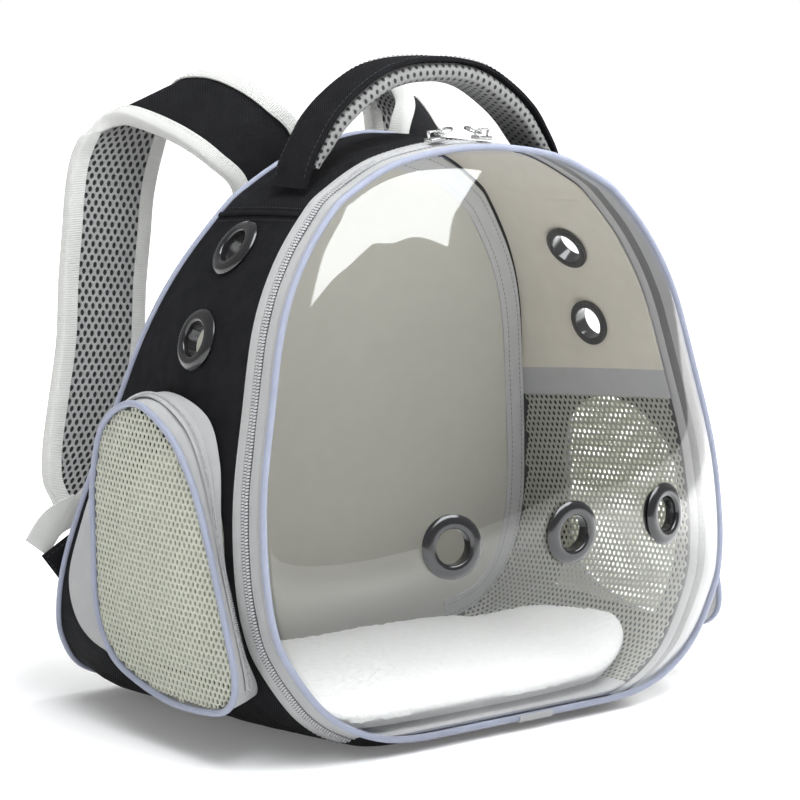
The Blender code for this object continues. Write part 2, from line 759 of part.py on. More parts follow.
def pocket_ring(sign, inset, seat):
    """Ring and foot of a pocket, drawn in by a distance, with the foot's X on the bag's side."""
    shape = smooth_through(list(POCKET_SHAPE), 2, True)
    count = len(shape)
    outlines = []
    for column in (0, 2):
        outline = []
        spots = [(POCKET_Y - row[column] * POCKET_LENGTH, POCKET_LOW_Z + row[column + 1] * POCKET_HEIGHT)
                 for row in shape]
        for k in range(count):
            along = Vector(spots[(k + 1) % count]) - Vector(spots[k - 1])
            inwards = Vector((-along.y, along.x)).normalized() * -1.0
            outline.append(Vector(spots[k]) + inwards * inset)
        outlines.append(outline)
    ring = [Vector((sign * POCKET_OUT, y, z)) for y, z in outlines[0]]
    foot = [Vector((side_x(OUTSIDE, y, z, sign) + sign * seat, y, z)) for y, z in outlines[1]]
    return ring, foot


def pocket(sign, label):
    margin = POCKET_PIPING_RADIUS + GAP
    nets = []
    for inset, deep in ((0.0, 0.0), (POCKET_WALL, POCKET_WALL)):
        ring, foot = pocket_ring(sign, inset, POCKET_SEAT + POCKET_WALL - deep)
        edge = [point - Vector((sign * (margin + deep), 0.0, 0.0)) for point in ring]
        nets.append([foot, edge])
    lofted("pocket_gusset_" + label, "grey_fabric", *nets, around=True)
    ring = pocket_ring(sign, 0.0, POCKET_SEAT)[0]
    cord("pocket_piping_" + label, "lavender_piping", ring, POCKET_PIPING_RADIUS)
    pocket_face(sign, label, pocket_ring(sign, margin, POCKET_SEAT)[0])
    pocket_zip(sign, label, nets[0])


def pocket_face(sign, label, edge):
    middle = sum(edge, Vector()) / len(edge)
    outer = []
    inner = []
    for share, crown in ((1.0, 0.0), (0.6, 1.0)):
        for net, deep in ((outer, 0.0), (inner, LINING_WALL)):
            shift = Vector((sign * (crown * POCKET_CROWN - deep), 0.0, 0.0))
            net.append([middle.lerp(point, share) + shift for point in edge])
    lofted("pocket_mesh_" + label, "cream_mesh", outer, inner, around=True, capped=True)


def pocket_zip(sign, label, rows):
    """A zip laid along the middle of the pocket's edge, up its front and over its top."""
    foot, edge = rows
    count = len(foot)
    first, last = [round(row * 2) for row in POCKET_ZIP_ROWS]
    nets = ([], [])
    for share in POCKET_ZIP_SHARES:
        for net, lift in zip(nets, (POCKET_ZIP_PLAY + POCKET_ZIP_WALL, POCKET_ZIP_PLAY)):
            row = []
            for k in range(first, last + 1):
                spot = foot[k % count].lerp(edge[k % count], share)
                along = edge[(k + 1) % count] - edge[(k - 1) % count]
                out = along.cross(edge[k % count] - foot[k % count]).normalized() * -sign
                row.append(spot + out * lift)
            net.append(row)
    lofted("pocket_zip_" + label, "grey_zip", *nets)


def handle():
    left = [(-across, up, pad) for across, up, pad in reversed(HANDLE_SHAPE[1:])]
    shape = left + list(HANDLE_SHAPE)
    path = [Vector((across * HANDLE_SPAN / 2, HANDLE_Y, HANDLE_FOOT_Z + up * HANDLE_RISE))
            for across, up, pad in shape]
    normals = []
    for k in range(len(path)):
        along = path[min(k + 1, len(path) - 1)] - path[max(k - 1, 0)]
        normals.append(Vector((-along.z, 0.0, along.x)).normalized())
    for end in (0, -1):
        inner = path[end] - normals[end] * HANDLE_COVER
        rooms = []
        for corner in (path[end], inner):
            for side in (-0.5, 0.0, 0.5):
                above = Vector((corner.x, HANDLE_Y + side * HANDLE_WIDTH, HANDLE_RISE + HANDLE_FOOT_Z))
                rooms.append(corner.z - OUTSIDE.ray_cast(above, Vector((0.0, 0.0, -1.0)))[0].z)
        path[end].z -= min(rooms) - 2 * GAP

    def bar(name, finish, first, width, high, low):
        sections = []
        for k in range(first, len(path) - first):
            half = Vector((0.0, width / 2, 0.0))
            top = path[k] - normals[k] * high
            foot = path[k] - normals[k] * low(shape[k][2])
            sections.append([top - half, top + half, foot + half, foot - half])
        swept(name, finish, sections)

    bar("handle_cover", "black_fabric", 0, HANDLE_WIDTH, 0.0, lambda pad: HANDLE_COVER)
    bar("handle_lining", "grey_mesh", 1, HANDLE_PAD_WIDTH, HANDLE_COVER + GAP,
        lambda pad: HANDLE_COVER + GAP + HANDLE_PAD * pad)


def from_shares(across, up, back):
    """A place behind the bag, for the left side."""
    return Vector((-across * BACK_WIDTH / 2, back * STRAP_REACH, RIM_LIFT + up * BACK_HEIGHT))


def strap_frames():
    """Middle, direction to the inner edge, direction out of the black face and half width."""
    shape = smooth_through(STRAP_SHAPE, STRAP_STEPS, False)
    middles = [from_shares(*row[:3]) for row in shape]
    frames = []
    for k, row in enumerate(shape):
        rise, swing = math.radians(row[3]), math.radians(row[4])
        inwards = Vector((math.cos(rise) * math.cos(swing), math.cos(rise) * math.sin(swing), math.sin(rise)))
        along = (middles[min(k + 1, len(middles) - 1)] - middles[max(k - 1, 0)]).normalized()
        out = inwards.cross(along).normalized()
        along = out.cross(inwards).normalized()
        frames.append((middles[k], inwards, out, along, row[5] * STRAP_WIDTH / 2))
    return frames


def mirrored(points, sign):
    """Points of the left side, moved to the right side where the sign says so."""
    return [Vector((-sign * point.x, point.y, point.z)) for point in points]


def strap(sign, label):
    frames = strap_frames()
    stack = STRAP_PAD + GAP + STRAP_MESH
    layers = (
        ("strap_pad_", "black_fabric", stack / 2, stack / 2 - STRAP_PAD),
        ("strap_mesh_", "grey_mesh", STRAP_MESH - stack / 2, -stack / 2),
    )
    for name, finish, high, low in layers:
        nets = []
        for height in (high, low):
            rows = []
            for middle, inwards, out, along, half in frames:
                edge = half - BINDING_WALL - 2 * BINDING_PLAY
                lip = half - BINDING_WIDTH
                row = [middle + inwards * u + out * height for u in (-edge, -lip, lip, edge)]
                rows.append(mirrored(row, sign))
            nets.append(rows)
        lofted(name + label, finish, *nets)
    inner_face = stack / 2 + BINDING_PLAY
    outer_face = inner_face + BINDING_WALL
    turns = [(frame, -1.0, 0.0) for frame in frames]
    turns += [(frames[-1], -math.cos(a), math.sin(a)) for a in (math.pi / 4, math.pi / 2, 3 * math.pi / 4)]
    turns += [(frame, 1.0, 0.0) for frame in reversed(frames)]
    sections = []
    for (middle, inwards, out, along, half), across, down in turns:
        reach = inwards * across + along * down
        lip = half - BINDING_WIDTH
        inside = half - BINDING_WALL
        profile = ((lip, outer_face), (half, outer_face), (half, -outer_face), (lip, -outer_face),
                   (lip, -inner_face), (inside, -inner_face), (inside, inner_face), (lip, inner_face))
        sections.append(mirrored([middle + reach * u + out * n for u, n in profile], sign))
    swept("strap_binding_" + label, "off_white_tape", sections)


def strap_foot(sign, label):
    """Webbing, its folded end and the triangular tab that hold the strap's lower end."""
    for name, path, spread in (("strap_webbing_", WEBBING_PATH, 0.35), ("webbing_fold_", FOLD_PATH, 0.0)):
        points = [from_shares(*row) for row in path]
        sections = []
        for k, point in enumerate(points):
            along = (points[min(k + 1, len(points) - 1)] - points[max(k - 1, 0)]).normalized()
            upright = Vector((spread, 0.0, 1.0))
            across = (upright - along * upright.dot(along)).normalized() * WEBBING_WIDTH / 2
            out = along.cross(across).normalized() * WEBBING_WALL / 2
            corners = [point + across + out, point - across + out, point - across - out, point + across - out]
            sections.append(mirrored(corners, sign))
        swept(name + label, "off_white_tape", sections)
    corners = [from_shares(*row) for row in TAB_CORNERS]
    out = (corners[1] - corners[0]).cross(corners[2] - corners[0]).normalized() * TAB_WALL / 2
    sections = [mirrored([corner + out * side for corner in corners], sign) for side in (1, -1)]
    swept("strap_tab_" + label, "black_fabric", sections)


def block(low, high):
    x0, y0, z0 = low
    x1, y1, z1 = high
    return [[Vector((x, y0, z0)), Vector((x, y1, z0)), Vector((x, y1, z1)), Vector((x, y0, z1))]
            for x in (x0, x1)]


def slider_frame(sign):
    """The top of the zip's coil at a slider, turned so that local +X points to the bag's middle."""
    place = place_at_x(sign * SLIDER_X, True)
    spot = side_point(place, COIL_START + COIL_WIDTH / 2, COIL_PROUD)
    along = side_point(place + 1, COIL_START, 0.0) - side_point(place - 1, COIL_START, 0.0)
    tilt = math.atan2(-along.z, along.x)
    turn = Matrix.Rotation(tilt, 4, "Y")
    if sign > 0:
        turn = turn @ Matrix.Rotation(math.pi, 4, "Z")
    seat = Matrix.Translation(spot) @ turn
    rises = []
    for x in (-SLIDER_LENGTH / 2, 0.0, SLIDER_LENGTH / 2):
        for y in (-SLIDER_WIDTH / 2, SLIDER_WIDTH / 2):
            corner = seat @ Vector((x, y, 0.0))
            above = Vector((corner.x, corner.y, corner.z + SLIDER_LENGTH))
            rises.append(COIL_TOP.ray_cast(above, Vector((0.0, 0.0, -1.0)))[0].z - corner.z)
    return Matrix.Translation((0.0, 0.0, max(rises) + 2 * GAP)) @ seat


def zip_pull(sign, label):
    """A slider with a bridge, and a ring through the bridge. The ring's origin is on its hinge."""
    frame = slider_frame(sign)
    half = SLIDER_LENGTH / 2
    body = block((-half, -SLIDER_WIDTH / 2, 0.0), (half, SLIDER_WIDTH / 2, SLIDER_HEIGHT))
    slider = swept("zip_slider_" + label, "bright_metal", [[frame @ p for p in ring] for ring in body])
    foot = SLIDER_HEIGHT / 2
    room = SLIDER_HEIGHT + BRIDGE_ROOM
    ends = half - BRIDGE_WALL / 2
    profile = ((-ends, foot), (-ends, room + BRIDGE_WALL), (ends, room + BRIDGE_WALL), (ends, foot),
               (ends - BRIDGE_WALL, foot), (ends - BRIDGE_WALL, room), (BRIDGE_WALL - ends, room),
               (BRIDGE_WALL - ends, foot))
    sections = [[frame @ Vector((x, y, z)) for x, z in profile] for y in (-BRIDGE_WIDTH / 2, BRIDGE_WIDTH / 2)]
    cut_with(slider, swept("bridge_" + label, None, sections, collection=CUTTERS), "UNION")
    hinge = frame @ Vector((ends - BRIDGE_WALL - BRIDGE_ROOM / 2, 0.0, SLIDER_HEIGHT + BRIDGE_ROOM / 2))
    tilt = math.radians(PULL_TILT_DEG)
    reach = Vector((-sign * math.cos(tilt), 0.0, math.sin(tilt)))
    side = Vector((0.0, 1.0, 0.0))
    lift = reach.cross(side).normalized()
    sections = []
    for step in range(16):
        turn = 2 * math.pi * step / 16
        spoke = reach * -math.cos(turn) + side * math.sin(turn)
        middle = reach * PULL_RADIUS + spoke * PULL_RADIUS
        ring = []
        for corner in range(6):
            angle = math.pi * corner / 3
            ring.append(middle + (spoke * math.cos(angle) + lift * math.sin(angle)) * PULL_WIRE)
        sections.append(ring)
    pull = swept("zip_pull_" + label, "bright_metal", sections, closed=True)
    pull.location = hinge


OUTSIDE = side_tree(0.0)
COIL_TOP = tree_of(side_rows(range(COUNT), behind(STRIP_START), behind(GUSSET_START), COIL_PROUD, 3), True)
door_edge()
bubble()
bag_walls()
back_walls()
floor_pad()
handle()
for SIGN, LABEL in ((-1, "left"), (1, "right")):
    pocket(SIGN, LABEL)
    strap(SIGN, LABEL)
    strap_foot(SIGN, LABEL)
    zip_pull(SIGN, LABEL)
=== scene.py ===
"""Looks of the bubble pet carrier backpack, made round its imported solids. Metres, +Z up, bubble to -Y."""
import json
import math

import bpy
import numpy as np
from mathutils import Matrix, Vector, noise
from mathutils.bvhtree import BVHTree

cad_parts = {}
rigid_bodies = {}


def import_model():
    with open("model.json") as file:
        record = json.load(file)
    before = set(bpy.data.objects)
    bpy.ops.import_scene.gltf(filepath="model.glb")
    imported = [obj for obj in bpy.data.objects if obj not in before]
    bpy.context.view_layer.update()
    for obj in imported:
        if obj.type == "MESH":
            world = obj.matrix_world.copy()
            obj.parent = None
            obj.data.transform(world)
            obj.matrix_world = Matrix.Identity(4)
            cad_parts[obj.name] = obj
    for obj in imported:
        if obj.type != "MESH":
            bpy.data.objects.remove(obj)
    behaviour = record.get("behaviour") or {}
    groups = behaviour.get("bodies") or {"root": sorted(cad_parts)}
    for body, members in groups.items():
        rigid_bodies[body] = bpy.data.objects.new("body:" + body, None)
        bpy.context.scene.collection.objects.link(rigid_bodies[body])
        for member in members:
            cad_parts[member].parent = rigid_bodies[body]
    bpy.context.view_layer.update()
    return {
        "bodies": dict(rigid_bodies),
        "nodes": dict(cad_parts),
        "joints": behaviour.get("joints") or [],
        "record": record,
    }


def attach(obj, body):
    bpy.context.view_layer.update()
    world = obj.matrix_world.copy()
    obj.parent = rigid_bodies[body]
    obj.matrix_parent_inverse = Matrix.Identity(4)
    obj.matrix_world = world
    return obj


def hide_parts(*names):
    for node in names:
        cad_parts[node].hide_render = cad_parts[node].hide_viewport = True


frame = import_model()
bpy.ops.object.select_all(action="DESELECT")

# The bag's named sizes, as in the part's source
FRONT_WIDTH = 0.357
FRONT_HEIGHT = 0.342
BACK_WIDTH = 0.370
BACK_HEIGHT = 0.346
RIM_LIFT = 0.008
FRONT_Y_LOW = -0.1235
FRONT_Y_TOP = -0.080
BACK_Y_LOW = 0.118
BACK_Y_TOP = 0.026
SIDE_CROWN = 0.0025
LIFT_RAMP = 0.026
GAP = 0.0003
PIPING_RADIUS = 0.0021
STRIP_START = PIPING_RADIUS + GAP
COIL_START = STRIP_START + 0.0108
TAPE_START = COIL_START + 0.0075
GUSSET_START = TAPE_START + 0.0078
BACK_MARGIN = PIPING_RADIUS + GAP
BACK_WALL = 0.008
CABIN_MARGIN = BACK_MARGIN + BACK_WALL + GAP
LINING_DEPTH = 0.0025
CABIN_DEPTH = 0.0037
PAD_HEIGHT = 0.019
BUBBLE_MIDDLE = 0.415
BUBBLE_RISE = 0.062
CLOTH = 0.0022
LINING = 0.0012
POCKET_OUT = 0.192
POCKET_WIDTH = 0.147
POCKET_HEIGHT = 0.173
POCKET_Y = -0.0240
POCKET_Z = 0.030
HANDLE_REACH = 0.097
HANDLE_RISE = 0.065
HANDLE_Y = -0.028
HANDLE_Z = 0.338
STRAP_DEPTH = 0.138
STRAP_HALF = 0.030
SIDE_RINGS = {-1: ((-0.010, 0.292), (-0.009, 0.239)), 1: ((-0.014, 0.280), (-0.012, 0.228))}

# Places round the rims, counted in points of their shape from the top towards +X: the shoulder seam, the
# mesh's band and its lower edge, and the corner under the side
SHOULDER = 3
PANEL = 6
BAND = 6.4
CORNER = 12

# Front rim across and up, then back rim across and up, in shares of their sizes
RIM_SHAPE = (
    (0.000, 1.000, 0.000, 1.000),
    (0.325, 0.981, 0.284, 0.968),
    (0.543, 0.933, 0.480, 0.910),
    (0.640, 0.895, 0.570, 0.865),
    (0.760, 0.820, 0.705, 0.767),
    (0.857, 0.720, 0.800, 0.660),
    (0.930, 0.572, 0.874, 0.523),
    (0.985, 0.440, 0.945, 0.385),
    (1.000, 0.320, 0.995, 0.250),
    (0.985, 0.225, 0.995, 0.155),
    (0.935, 0.158, 0.960, 0.092),
    (0.803, 0.069, 0.870, 0.035),
    (0.616, 0.016, 0.700, 0.004),
    (0.400, 0.000, 0.450, 0.000),
    (0.000, 0.000, 0.000, 0.000),
)
# Pocket ring across and up, then its foot across and up
POCKET_SHAPE = (
    (-0.187, 1.000, -0.235, 1.023),
    (-0.412, 0.907, -0.493, 0.925),
    (-0.500, 0.694, -0.630, 0.705),
    (-0.500, 0.462, -0.700, 0.490),
    (-0.493, 0.289, -0.745, 0.290),
    (-0.439, 0.162, -0.670, 0.127),
    (-0.303, 0.064, -0.473, 0.058),
    (0.024, 0.000, -0.031, 0.035),
    (0.310, 0.006, 0.255, 0.023),
    (0.459, 0.046, 0.385, 0.069),
    (0.500, 0.150, 0.422, 0.185),
    (0.418, 0.370, 0.388, 0.393),
    (0.310, 0.613, 0.320, 0.647),
    (0.207, 0.786, 0.258, 0.832),
    (0.051, 0.925, 0.100, 0.977),
)
# Handle across, up, and share of the pad's thickness
HANDLE_SHAPE = (
    (0.000, 1.000, 1.00),
    (0.227, 0.977, 1.00),
    (0.433, 0.892, 1.00),
    (0.639, 0.715, 1.00),
    (0.804, 0.508, 0.95),
    (0.918, 0.277, 0.80),
    (1.000, 0.060, 0.50),
    (1.045, -0.160, 0.22),
)
# Strap across, up, back, rise and swing of its width in degrees, and share of its width
STRAP_SHAPE = (
    (0.308, 0.855, 0.3655, 28, -5, 1.00),
    (0.324, 0.955, 0.365, 40, -11, 1.00),
    (0.389, 1.003, 0.435, 39, -13, 1.00),
    (0.427, 1.035, 0.565, 38, -15, 1.00),
    (0.465, 1.055, 0.703, 35, -13, 1.00),
    (0.500, 1.062, 0.830, 27, -12, 1.00),
    (0.522, 1.056, 0.900, 23, -12, 1.00),
    (0.541, 1.040, 0.945, 18, -11, 1.00),
    (0.563, 1.020, 0.970, 13, -10, 1.00),
    (0.589, 1.003, 0.978, 7, -10, 1.00),
    (0.622, 0.948, 1.000, -3, -9, 1.00),
    (0.649, 0.887, 1.000, -6, -6, 1.00),
    (0.670, 0.818, 0.986, -7, -5, 1.00),
    (0.697, 0.725, 0.971, -6, -4, 1.00),
    (0.724, 0.618, 0.942, -5, -4, 1.00),
    (0.773, 0.514, 0.913, -4, -4, 1.00),
    (0.816, 0.436, 0.891, -2, -5, 0.95),
    (0.865, 0.382, 0.870, 0, -5, 0.73),
    (0.903, 0.344, 0.848, 0, -10, 0.36),
)
FRONT_LEAN = math.atan2(FRONT_Y_TOP - FRONT_Y_LOW, FRONT_HEIGHT)
BACK_LEAN = math.atan2(BACK_Y_TOP - BACK_Y_LOW, BACK_HEIGHT)
AHEAD = Vector((0.0, -math.cos(FRONT_LEAN), math.sin(FRONT_LEAN)))
BEHIND = Vector((0.0, math.cos(BACK_LEAN), -math.sin(BACK_LEAN)))


def curve_at(points, place, closed):
    """A point of the smooth curve through the given ones, at a place counted in them."""
    count = len(points)
    low = math.floor(place)
    t = place - low
    if closed:
        four = [points[(low + k) % count] for k in (-1, 0, 1, 2)]
    else:
        four = [points[min(max(low + k, 0), count - 1)] for k in (-1, 0, 1, 2)]
    return [0.5 * (2 * b + (c - a) * t + (2 * a - 5 * b + 4 * c - d) * t * t
                   + (3 * b - a - 3 * c + d) * t * t * t) for a, b, c, d in zip(*four)]


RIM = list(RIM_SHAPE) + [(-fa, fu, -ba, bu) for fa, fu, ba, bu in reversed(RIM_SHAPE[1:-1])]
COUNT = len(RIM)


def front_y(z):
    """Depth of the leaning front at a height."""
    return FRONT_Y_LOW + (FRONT_Y_TOP - FRONT_Y_LOW) * (z - RIM_LIFT) / FRONT_HEIGHT


def back_y(z):
    return BACK_Y_LOW + (BACK_Y_TOP - BACK_Y_LOW) * (z - RIM_LIFT) / BACK_HEIGHT


def rim_points(place):
    """The points of the front and the back rim at a place."""
    fa, fu, ba, bu = curve_at(RIM, place, True)
    front_z = RIM_LIFT + max(fu, 0.0) * FRONT_HEIGHT
    back_z = RIM_LIFT + max(bu, 0.0) * BACK_HEIGHT
    front = Vector((fa * FRONT_WIDTH / 2, front_y(front_z), front_z))
    back = Vector((ba * BACK_WIDTH / 2, back_y(back_z), back_z))
    return front, back


def rim_normal(place):
    """The direction out of the bag's side at a place."""
    before = sum(rim_points(place - 0.25), Vector())
    after = sum(rim_points(place + 0.25), Vector())
    along = after - before
    return Vector((-along.z, 0.0, along.x)).normalized()


def depth_at(place):
    front, back = rim_points(place)
    return back.y - front.y


def side_point(place, distance, out):
    """A point of the bag's side at a distance behind the front rim, moved out by a length."""
    front, back = rim_points(place)
    depth = back.y - front.y
    share = distance / depth
    normal = rim_normal(place)
    crown = SIDE_CROWN * 4 * share * (1 - share)
    spot = front.lerp(back, share) + normal * (crown + out)
    ramp = max(min(distance / LIFT_RAMP, (depth - distance) / LIFT_RAMP, 1.0), 0.0)
    ramp = ramp * ramp * (3 - 2 * ramp)
    spot.z -= RIM_LIFT * max(-normal.z, 0.0) ** 2 * ramp
    spot.z = max(spot.z, -min(out, 0.0))
    return spot


def place_at_x(x, top):
    """The place where the front rim crosses x, in its upper or its lower half."""
    places = [step / 100 for step in range(COUNT * 100)]
    half = [p for p in places if (p < COUNT / 4 or p > 3 * COUNT / 4) == top]
    return min(half, key=lambda p: abs(rim_points(p)[0].x - x))


def spread(start, end, count):
    return [start + (end - start) * k / count for k in range(count + 1)]


def all_round(count):
    return spread(0, COUNT, count)[:-1]


def circle(count):
    """Cosine and sine at equal steps of a full turn."""
    return [(math.cos(a), math.sin(a)) for a in [2 * math.pi * k / count for k in range(count)]]


def ripple(spot, size, seed=0.0):
    """Smooth unevenness from -1 to 1 with bumps of about the given size."""
    return noise.noise(Vector(spot) / size + Vector((seed, seed * 0.7, -seed)))


# Materials
class Wire:
    """A value that runs between nodes and takes part in sums."""

    def __init__(self, finish, socket):
        self.finish = finish
        self.socket = socket

    def sum(self, operation, *others):
        return self.finish.node("ShaderNodeMath", {"operation": operation}, [self, *others])

    def __add__(self, other):
        return self.sum("ADD", other)

    def __sub__(self, other):
        return self.sum("SUBTRACT", other)

    def __rsub__(self, other):
        return self.finish.node("ShaderNodeMath", {"operation": "SUBTRACT"}, [other, self])

    def __mul__(self, other):
        return self.sum("MULTIPLY", other)

    __radd__, __rmul__ = __add__, __mul__

    def __truediv__(self, other):
        return self.sum("DIVIDE", other)

    def __pow__(self, other):
        return self.sum("POWER", other)

    def __abs__(self):
        return self.sum("ABSOLUTE")

    def sine(self):
        return self.sum("SINE")

    def fraction(self):
        return self.sum("FRACT")

    def over(self, limit):
        return self.sum("GREATER_THAN", limit)


class Finish:
    """One material and the nodes that feed its shader."""

    def __init__(self, name, colour, roughness, metallic=0.0, **constants):
        self.material = bpy.data.materials.new(name)
        self.material.use_nodes = True
        self.tree = self.material.node_tree
        self.shader = self.tree.nodes["Principled BSDF"]
        self.colour = (*colour, 1.0)
        self.shader.inputs["Base Color"].default_value = self.colour
        self.shader.inputs["Roughness"].default_value = roughness
        self.shader.inputs["Metallic"].default_value = metallic
        for key, value in constants.items():
            self.shader.inputs[key.replace("_", " ").title().replace("Ior", "IOR")].default_value = value

    def node(self, kind, settings, values, out=0):
        made = self.tree.nodes.new(kind)
        for key, value in settings.items():
            setattr(made, key, value)
        pairs = values.items() if isinstance(values, dict) else enumerate(values)
        for key, value in pairs:
            if isinstance(value, Wire):
                self.tree.links.new(value.socket, made.inputs[key])
            else:
                made.inputs[key].default_value = value
        return Wire(self, made.outputs[out])

    def object_place(self):
        return self.node("ShaderNodeTexCoord", {}, [], "Object")

    def flat_place(self):
        """Metres across the cloth, from the piece's own UV map."""
        place = self.node("ShaderNodeUVMap", {"uv_map": "flat"}, [])
        axes = self.tree.nodes.new("ShaderNodeSeparateXYZ")
        self.tree.links.new(place.socket, axes.inputs[0])
        return Wire(self, axes.outputs[0]), Wire(self, axes.outputs[1])

    def cloud(self, size, detail=2.0, rough=0.5):
        return self.node("ShaderNodeTexNoise", {}, {"Vector": self.object_place(), "Scale": 1.0 / size,
                                                   "Detail": detail, "Roughness": rough})

    def tint(self, amount, other, start=None):
        """Blends the base colour, or another start, towards a colour by an amount."""
        return self.node("ShaderNodeMix", {"data_type": "RGBA"},
                         {0: amount, 6: start or self.colour, 7: (*other, 1.0)}, 2)

    def paint(self, key, value):
        self.tree.links.new(value.socket, self.shader.inputs[key])

    def let_light_through(self, share):
        behind = self.node("ShaderNodeBsdfTranslucent", {}, {"Color": self.colour})
        mixed = self.node("ShaderNodeMixShader", {}, {0: share, 1: Wire(self, self.shader.outputs[0]), 2: behind})
        output = self.tree.nodes["Material Output"]
        self.tree.links.new(mixed.socket, output.inputs["Surface"])

    def bump(self, height, distance, strength=1.0):
        self.paint("Normal", self.node("ShaderNodeBump", {}, {"Height": height, "Distance": distance,
                                                              "Strength": strength}))


def woven(name, colour, darker, roughness, thread, relief, sheen=0.3, gloss=0.3):
    """Plain weave that follows the cloth, with soft mottling and painted shade between its threads."""
    finish = Finish(name, colour, roughness, sheen_weight=sheen, sheen_roughness=0.5, specular_ior_level=gloss)
    across, along = finish.flat_place()
    turn = math.pi / thread
    warp = abs((across * turn).sine())
    weft = abs((along * turn).sine())
    checks = (((across * turn).sine() * (along * turn).sine()).over(0.0))
    weave = warp * checks + weft * (1 - checks)
    mottle = finish.cloud(0.012, 3.0)
    # Darker where the weave's bump is low: painted shade between the threads. The mottle is the cloth's own uneven
    # tone.
    finish.paint("Base Color", finish.tint(mottle * 0.55 + (1 - weave) * 0.35, darker))
    finish.paint("Roughness", mottle * 0.12 + (roughness - 0.06))
    finish.bump(weave * 0.7 + finish.cloud(0.0009) * 0.6, relief)
    return finish.material


def ribbed(name, colour, darker, roughness, pitch, relief):
    """Tape with ribs across its length, with painted shade in the grooves between them."""
    finish = Finish(name, colour, roughness, sheen_weight=0.3, sheen_roughness=0.5)
    across, along = finish.flat_place()
    ribs = abs((across * (math.pi / pitch)).sine())
    threads = abs((along * (math.pi / (pitch * 0.6))).sine())
    mottle = finish.cloud(0.01, 2.0)
    # Darker in the grooves between the ribs: painted shade. The mottle is the tape's own uneven tone.
    finish.paint("Base Color", finish.tint((1 - ribs) * 0.55 + mottle * 0.3, darker))
    finish.paint("Roughness", mottle * 0.1 + (roughness - 0.05))
    finish.bump(ribs + threads * 0.3, relief)
    return finish.material


def knitted(name, colour, darker, roughness=0.8, yarn=0.0007, relief=0.0003, glow=0.0, sheen=0.2):
    """The yarn of a net, whose holes are in the piece itself, with painted shade between its stitches. Glow is the
    share of light let through.
    """
    finish = Finish(name, colour, roughness, sheen_weight=sheen, sheen_roughness=0.6, specular_ior_level=0.15)
    across, along = finish.flat_place()
    stitches = abs(((across + along * 0.5) * (math.pi / yarn)).sine()) * abs((along * (math.pi / yarn)).sine())
    mottle = finish.cloud(0.008, 2.0)
    # Darker between the stitches, where the bump is low: painted shade. The mottle is the yarn's own uneven tone.
    finish.paint("Base Color", finish.tint((1 - stitches) * 0.4 + mottle * 0.3, darker))
    finish.paint("Roughness", mottle * 0.1 + (roughness - 0.05))
    finish.bump(stitches, relief)
    if glow:
        finish.let_light_through(glow)
    return finish.material


def spaced(name, colour, darker, hole, pitch, roughness=0.8, relief=0.0009):
    """Thick knit with rows of oval holes, shown as dimples painted near-black for the shade inside them, and
    painted shade between its yarns.
    """
    finish = Finish(name, colour, roughness, sheen_weight=0.15, specular_ior_level=0.12)
    across, along = finish.flat_place()
    row = (along / pitch).sum("FLOOR")
    shift = (row * 0.5).fraction()
    u = (across / (pitch * 1.1) + shift).fraction() - 0.5
    v = (along / pitch).fraction() - 0.5
    reach = (u * u * 1.9 + v * v) ** 0.5
    dimple = finish.node("ShaderNodeMapRange", {"interpolation_type": "SMOOTHSTEP"},
                         {"Value": reach, "From Min": 0.20, "From Max": 0.42})
    yarn = abs(((across + along * 0.5) * (math.pi / 0.0007)).sine())
    # Darker between the yarns: painted shade.
    shade = finish.tint((1 - yarn) * 0.35, darker)
    # The dimples take the near-black hole colour: painted shade inside the knit's holes.
    finish.paint("Base Color", finish.tint(1 - dimple, hole, shade))
    finish.paint("Roughness", finish.cloud(0.008) * 0.1 + (roughness - 0.05))
    finish.bump(dimple + yarn * 0.15, relief)
    return finish.material


def moulded(name, colour, roughness, coat=0.0):
    finish = Finish(name, colour, roughness, coat_weight=coat, coat_roughness=0.08)
    haze = finish.cloud(0.004, 3.0)
    finish.paint("Roughness", haze * 0.14 + (roughness - 0.05))
    finish.bump(finish.cloud(0.0012, 2.0), 0.00004)
    return finish.material


def plated(name, colour, roughness):
    finish = Finish(name, colour, roughness, 1.0)
    haze = finish.cloud(0.003, 4.0)
    finish.paint("Roughness", haze * 0.2 + (roughness - 0.06))
    finish.paint("Base Color", finish.tint(haze * 0.3, [c * 0.7 for c in colour]))
    return finish.material


def clear(name):
    """Thin glossy film: it mirrors more the flatter it is looked along, and lets the rest through."""
    finish = Finish(name, (0.96, 0.96, 0.96), 0.02, 1.0)
    facing = finish.node("ShaderNodeLayerWeight", {}, {"Blend": 0.5}, "Facing")
    finish.paint("Alpha", (facing ** 5.0) * 0.80 + 0.036)
    smear = finish.cloud(0.05, 3.0)
    finish.paint("Roughness", smear * 0.025 + 0.005)
    finish.bump(finish.cloud(0.09, 1.0), 0.0005, 0.4)
    return finish.material


def plush(name, colour, darker):
    finish = Finish(name, colour, 0.95, sheen_weight=0.6, sheen_roughness=0.7)
    tuft = finish.cloud(0.0035, 4.0, 0.7)
    fibre = finish.cloud(0.0008, 2.0, 0.8)
    # Darker between the tufts, where the bump is low: painted shade.
    finish.paint("Base Color", finish.tint((1 - tuft) * 0.6, darker))
    finish.paint("Roughness", fibre * 0.1 + 0.88)
    finish.bump(tuft * 0.6 + fibre * 0.4, 0.0016)
    return finish.material


BLACK_CLOTH = woven("black_cloth", (0.015, 0.015, 0.017), (0.002, 0.002, 0.0025), 0.66, 0.0010, 0.0004, 0.0, 0.08)
